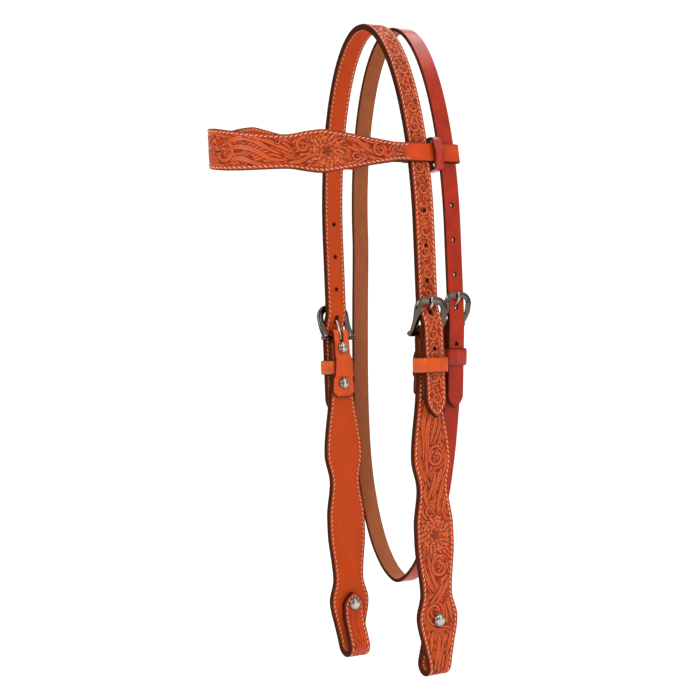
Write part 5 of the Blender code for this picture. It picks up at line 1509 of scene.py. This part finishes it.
def fitScrews():
    face = chapeOutside + sheetGap
    for level, drop in (("Upper", cheek["firstScrew"]), ("Lower", cheek["secondScrew"])):
        spot = cheekBar - axisZ * drop
        for piece, ending, node in screwPair(
                "left" + level + "ChapeScrew",
                capProfile(screw["cap"], screw["dome"], 2 * face - sheetGap),
                flatProfile(screw["head"]), spot - axisX * face, spot + axisX * face, -axisX):
            bothSides(piece, level + "ChapeScrew" + ending,
                      [level.lower() + "_chape_screw" + node], "nickel")
    bit = cheekBar - axisZ * bitScrewDrop
    outside, inside = layerHalf + sheetGap, flapOffset + layerHalf + sheetGap
    for piece, ending, node in screwPair(
            "leftBitScrew",
            capProfile(screw["bitCap"], screw["bitDome"], outside + inside - sheetGap),
            domeProfile(screw["bitCap"], screw["bitDome"], screw["shank"], screw["reach"]),
            bit + axisX * outside, bit - axisX * inside, axisX):
        bothSides(piece, "BitScrew" + ending, ["bit_screw" + node], "nickel")
    face = throatFold + throatLeather / 2 + sheetGap
    back = throatReturn - throatLeather / 2 - sheetGap
    for level, drop in (("upper", throat["firstScrew"]), ("lower", throat["secondScrew"])):
        for piece, _, node in screwPair(
                level + "ThroatScrew",
                capProfile(screw["throatCap"], screw["dome"], face - back - sheetGap),
                flatProfile(screw["throatHead"]), byThroatBar(back, drop),
                byThroatBar(face, drop), -throatOut):
            finishPiece(piece, "throat", [level + "_throat_screw" + node], "nickel")


fitScrews()
print("screws fitted")


def sweptMetal(rings):
    # a ring of section points for each place along the sweep, bridged one to the next
    bm = bmesh.new()
    loops = []
    for ring in rings:
        made = bmesh.ops.create_circle(bm, segments=len(ring), radius=1)["verts"]
        for vert, point in zip(made, ring):
            vert.co = Vector(point)
        loops.append(made)
    for a, b in zip(loops, loops[1:]):
        count = len(a)
        for i in range(count):
            bm.faces.new((a[i], a[(i + 1) % count], b[(i + 1) % count], b[i]))
    bmesh.ops.holes_fill(bm, edges=[e for e in bm.edges if e.is_boundary], sides=0)
    faceOutwards(bm)
    return bm


buckles = {
    "cheek": {"bar": cheekBar, "opening": 0.0190 / 2 + 0.0008, "strip": 0.0062,
              "thickness": 0.0024, "height": 0.0290, "corner": 0.0074, "foot": 0.0022,
              "camber": 0.0210, "barRadius": 0.0016, "ball": 0.0023, "ballReach": 0.0018,
              "offset": 0.0030 + layerHalf + 0.0014 + 0.0012, "wire": 0.0011,
              "path": [(-0.20, 0.18), (0.02, 0.44), (0.45, 0.715), (0.86, 0.90)]},
    "throat": {"bar": throatBar, "opening": 0.0159 / 2 + 0.00065, "strip": 0.0050,
               "thickness": 0.0020, "height": 0.0260, "corner": 0.0066, "foot": 0.0020,
               "camber": 0.0165, "barRadius": 0.0015, "ball": 0.0021, "ballReach": 0.0015,
               "offset": 0.0080 + throatLeather / 2 + 0.0006 + 0.0010, "wire": 0.0010,
               "path": [(-0.14, 0.18), (0.14, 0.44), (0.60, 0.745), (0.90, 0.91)]},
}
# half widths and half thicknesses: a flat face between rolled bevels, flat behind
frameSection = [(1.0, -0.7), (1.0, 0.0), (0.96, 0.34), (0.86, 0.68), (0.72, 0.92), (0.58, 1.0),
                (-0.58, 1.0), (-0.72, 0.92), (-0.86, 0.68), (-0.96, 0.34), (-1.0, 0.0),
                (-1.0, -0.7), (-0.88, -1.0), (0.88, -1.0)]


def frameShapes(size):
    # a horseshoe of bevelled flat section, and its bar's profile with a ball at each end
    bar, height, camber = size["bar"], size["height"], size["camber"]
    t = np.linspace(0, 1, 49)[:, None]
    face = bar + axisZ * camber * t + axisX * size["offset"] * np.sin(t * math.pi / 2)
    foot = face[0] - (face[1] - face[0]) / np.linalg.norm(face[1] - face[0]) * height
    line = makeRoute([foot, face, face[-1] + axisZ * height], axisY)
    level = placeNear(line, bar)
    strip, corner = size["strip"], size["corner"]
    side = size["opening"] - 0.0001 + strip / 2
    top = line["length"] - level - camber - strip / 2
    path = [(u, side, 0) for u in np.linspace(-size["foot"], (top - corner) * 0.66, 12)]
    path += [(top - corner + corner * math.sin(a), side - corner + corner * math.cos(a), a)
             for a in np.linspace(0, math.pi / 2, 13)]
    path = path + [(u, -v, math.pi - a) for u, v, a in reversed(path)]
    out, up = (np.array(frameSection) * (strip / 2, size["thickness"] / 2)).T
    rings = []
    for u, v, a in path:
        places = level + u + out * math.sin(a)
        across = v + out * math.cos(a)
        points, acrosses, faces = alongRoute(line, places)
        rings.append(points + acrosses * across[:, None] + faces * up[:, None])
    bm = sweptMetal(rings)
    reach = side + strip / 2 + size["ballReach"]
    ball = reach - size["ball"]
    profile = [(0, reach)] + [(size["ball"] * math.sin(a), ball + size["ball"] * math.cos(a))
                              for a in np.linspace(0, math.pi * 0.76, 9)[1:]]
    profile = [p for p in profile if p[0] > size["barRadius"] or p[1] > ball]
    profile.append((size["barRadius"], ball - math.sqrt(
        size["ball"] ** 2 - size["barRadius"] ** 2)))
    profile += [(r, -p) for r, p in reversed(profile)]
    return bm, profile


def castFrame(name, size):
    # the horseshoe and its bar are cast in one
    bm, profile = frameShapes(size)
    mesh = meshFrom(bm, name)
    smoothMesh(mesh, 50)
    piece = placeObject(name, mesh, finishes["nickel"])
    bar = latheMetal(name + "Bar", profile, size["bar"], (0, 1, 0), 24, "nickel")
    union = piece.modifiers.new("bar", "BOOLEAN")
    union.operation, union.solver, union.object = "UNION", "EXACT", bar
    cast = bpy.data.meshes.new_from_object(
        piece.evaluated_get(bpy.context.evaluated_depsgraph_get()))
    piece.modifiers.clear()
    piece.data = cast
    cast.name = name
    smoothMesh(cast, 50)
    bpy.data.objects.remove(bar, do_unlink=True)
    return piece


# how far a tongue curls round its bar, where on the frame it lies, its tip and its taper
tongue = {"curl": math.radians(285), "seat": 0.82, "tip": 0.0008, "taper": 0.2,
          "rounding": 0.0004}


def buckleTongue(name, size):
    # a drawn wire, curled round the bar, bowed through the strap and laid on the frame
    bar, wire = size["bar"], size["wire"]
    curl = size["barRadius"] + sheetGap + wire
    seat = (size["offset"] + size["thickness"] / 2 + sheetGap + wire,
            size["height"] * tongue["seat"])
    turns = math.pi + tongue["curl"] * (1 - np.arange(24) / 24)
    curls = bar + np.outer(curl * np.cos(turns), axisX) + np.outer(curl * np.sin(turns), axisZ)
    knots = [curls[-2], bar - axisX * curl]
    knots += [bar + axisX * seat[0] * a + axisZ * seat[1] * b for a, b in size["path"]]
    knots += [bar + axisX * seat[0] + axisZ * seat[1],
              bar + axisX * seat[0] + axisZ * size["height"]]
    knots.append(2 * knots[-1] - knots[-2])
    line = makeRoute([curls, curvePoints(knots, 0.0012)], axisY)
    spin = np.linspace(0, 2 * math.pi, 14, endpoint=False)
    rings = []
    places = np.concatenate([line["places"][:-1],
                             line["length"] - np.array([tongue["rounding"], 0])])
    for place in np.sort(places):
        left = line["length"] - place
        radius = wire + (tongue["tip"] - wire) * eased(
            1 - left / (tongue["taper"] * line["length"]))
        radius = radius * (0.55 if left < 0.00005 else 1)
        point, across, face = [value[0] for value in alongRoute(line, np.array([place]))]
        rings.append(point + np.outer(np.cos(spin) * radius, across)
                     + np.outer(np.sin(spin) * radius, face))
    bm = sweptMetal(rings)
    mesh = meshFrom(bm, name)
    smoothMesh(mesh, 60)
    return placeObject(name, mesh, finishes["polished"])


bothSides(castFrame("leftBuckleFrame", buckles["cheek"]), "BuckleFrame", ["buckle_frame"],
          "nickel", ["left_frame", "right_frame"])
bothSides(buckleTongue("leftBuckleTongue", buckles["cheek"]), "BuckleTongue",
          ["buckle_tongue"], "nickel", ["left_tongue", "right_tongue"])
finishPiece(castFrame("throatBuckleFrame", buckles["throat"]), "throat_frame",
            ["throat_buckle_frame"], "nickel")
finishPiece(buckleTongue("throatBuckleTongue", buckles["throat"]), "throat_tongue",
            ["throat_buckle_tongue"], "nickel")
print("buckles cast")
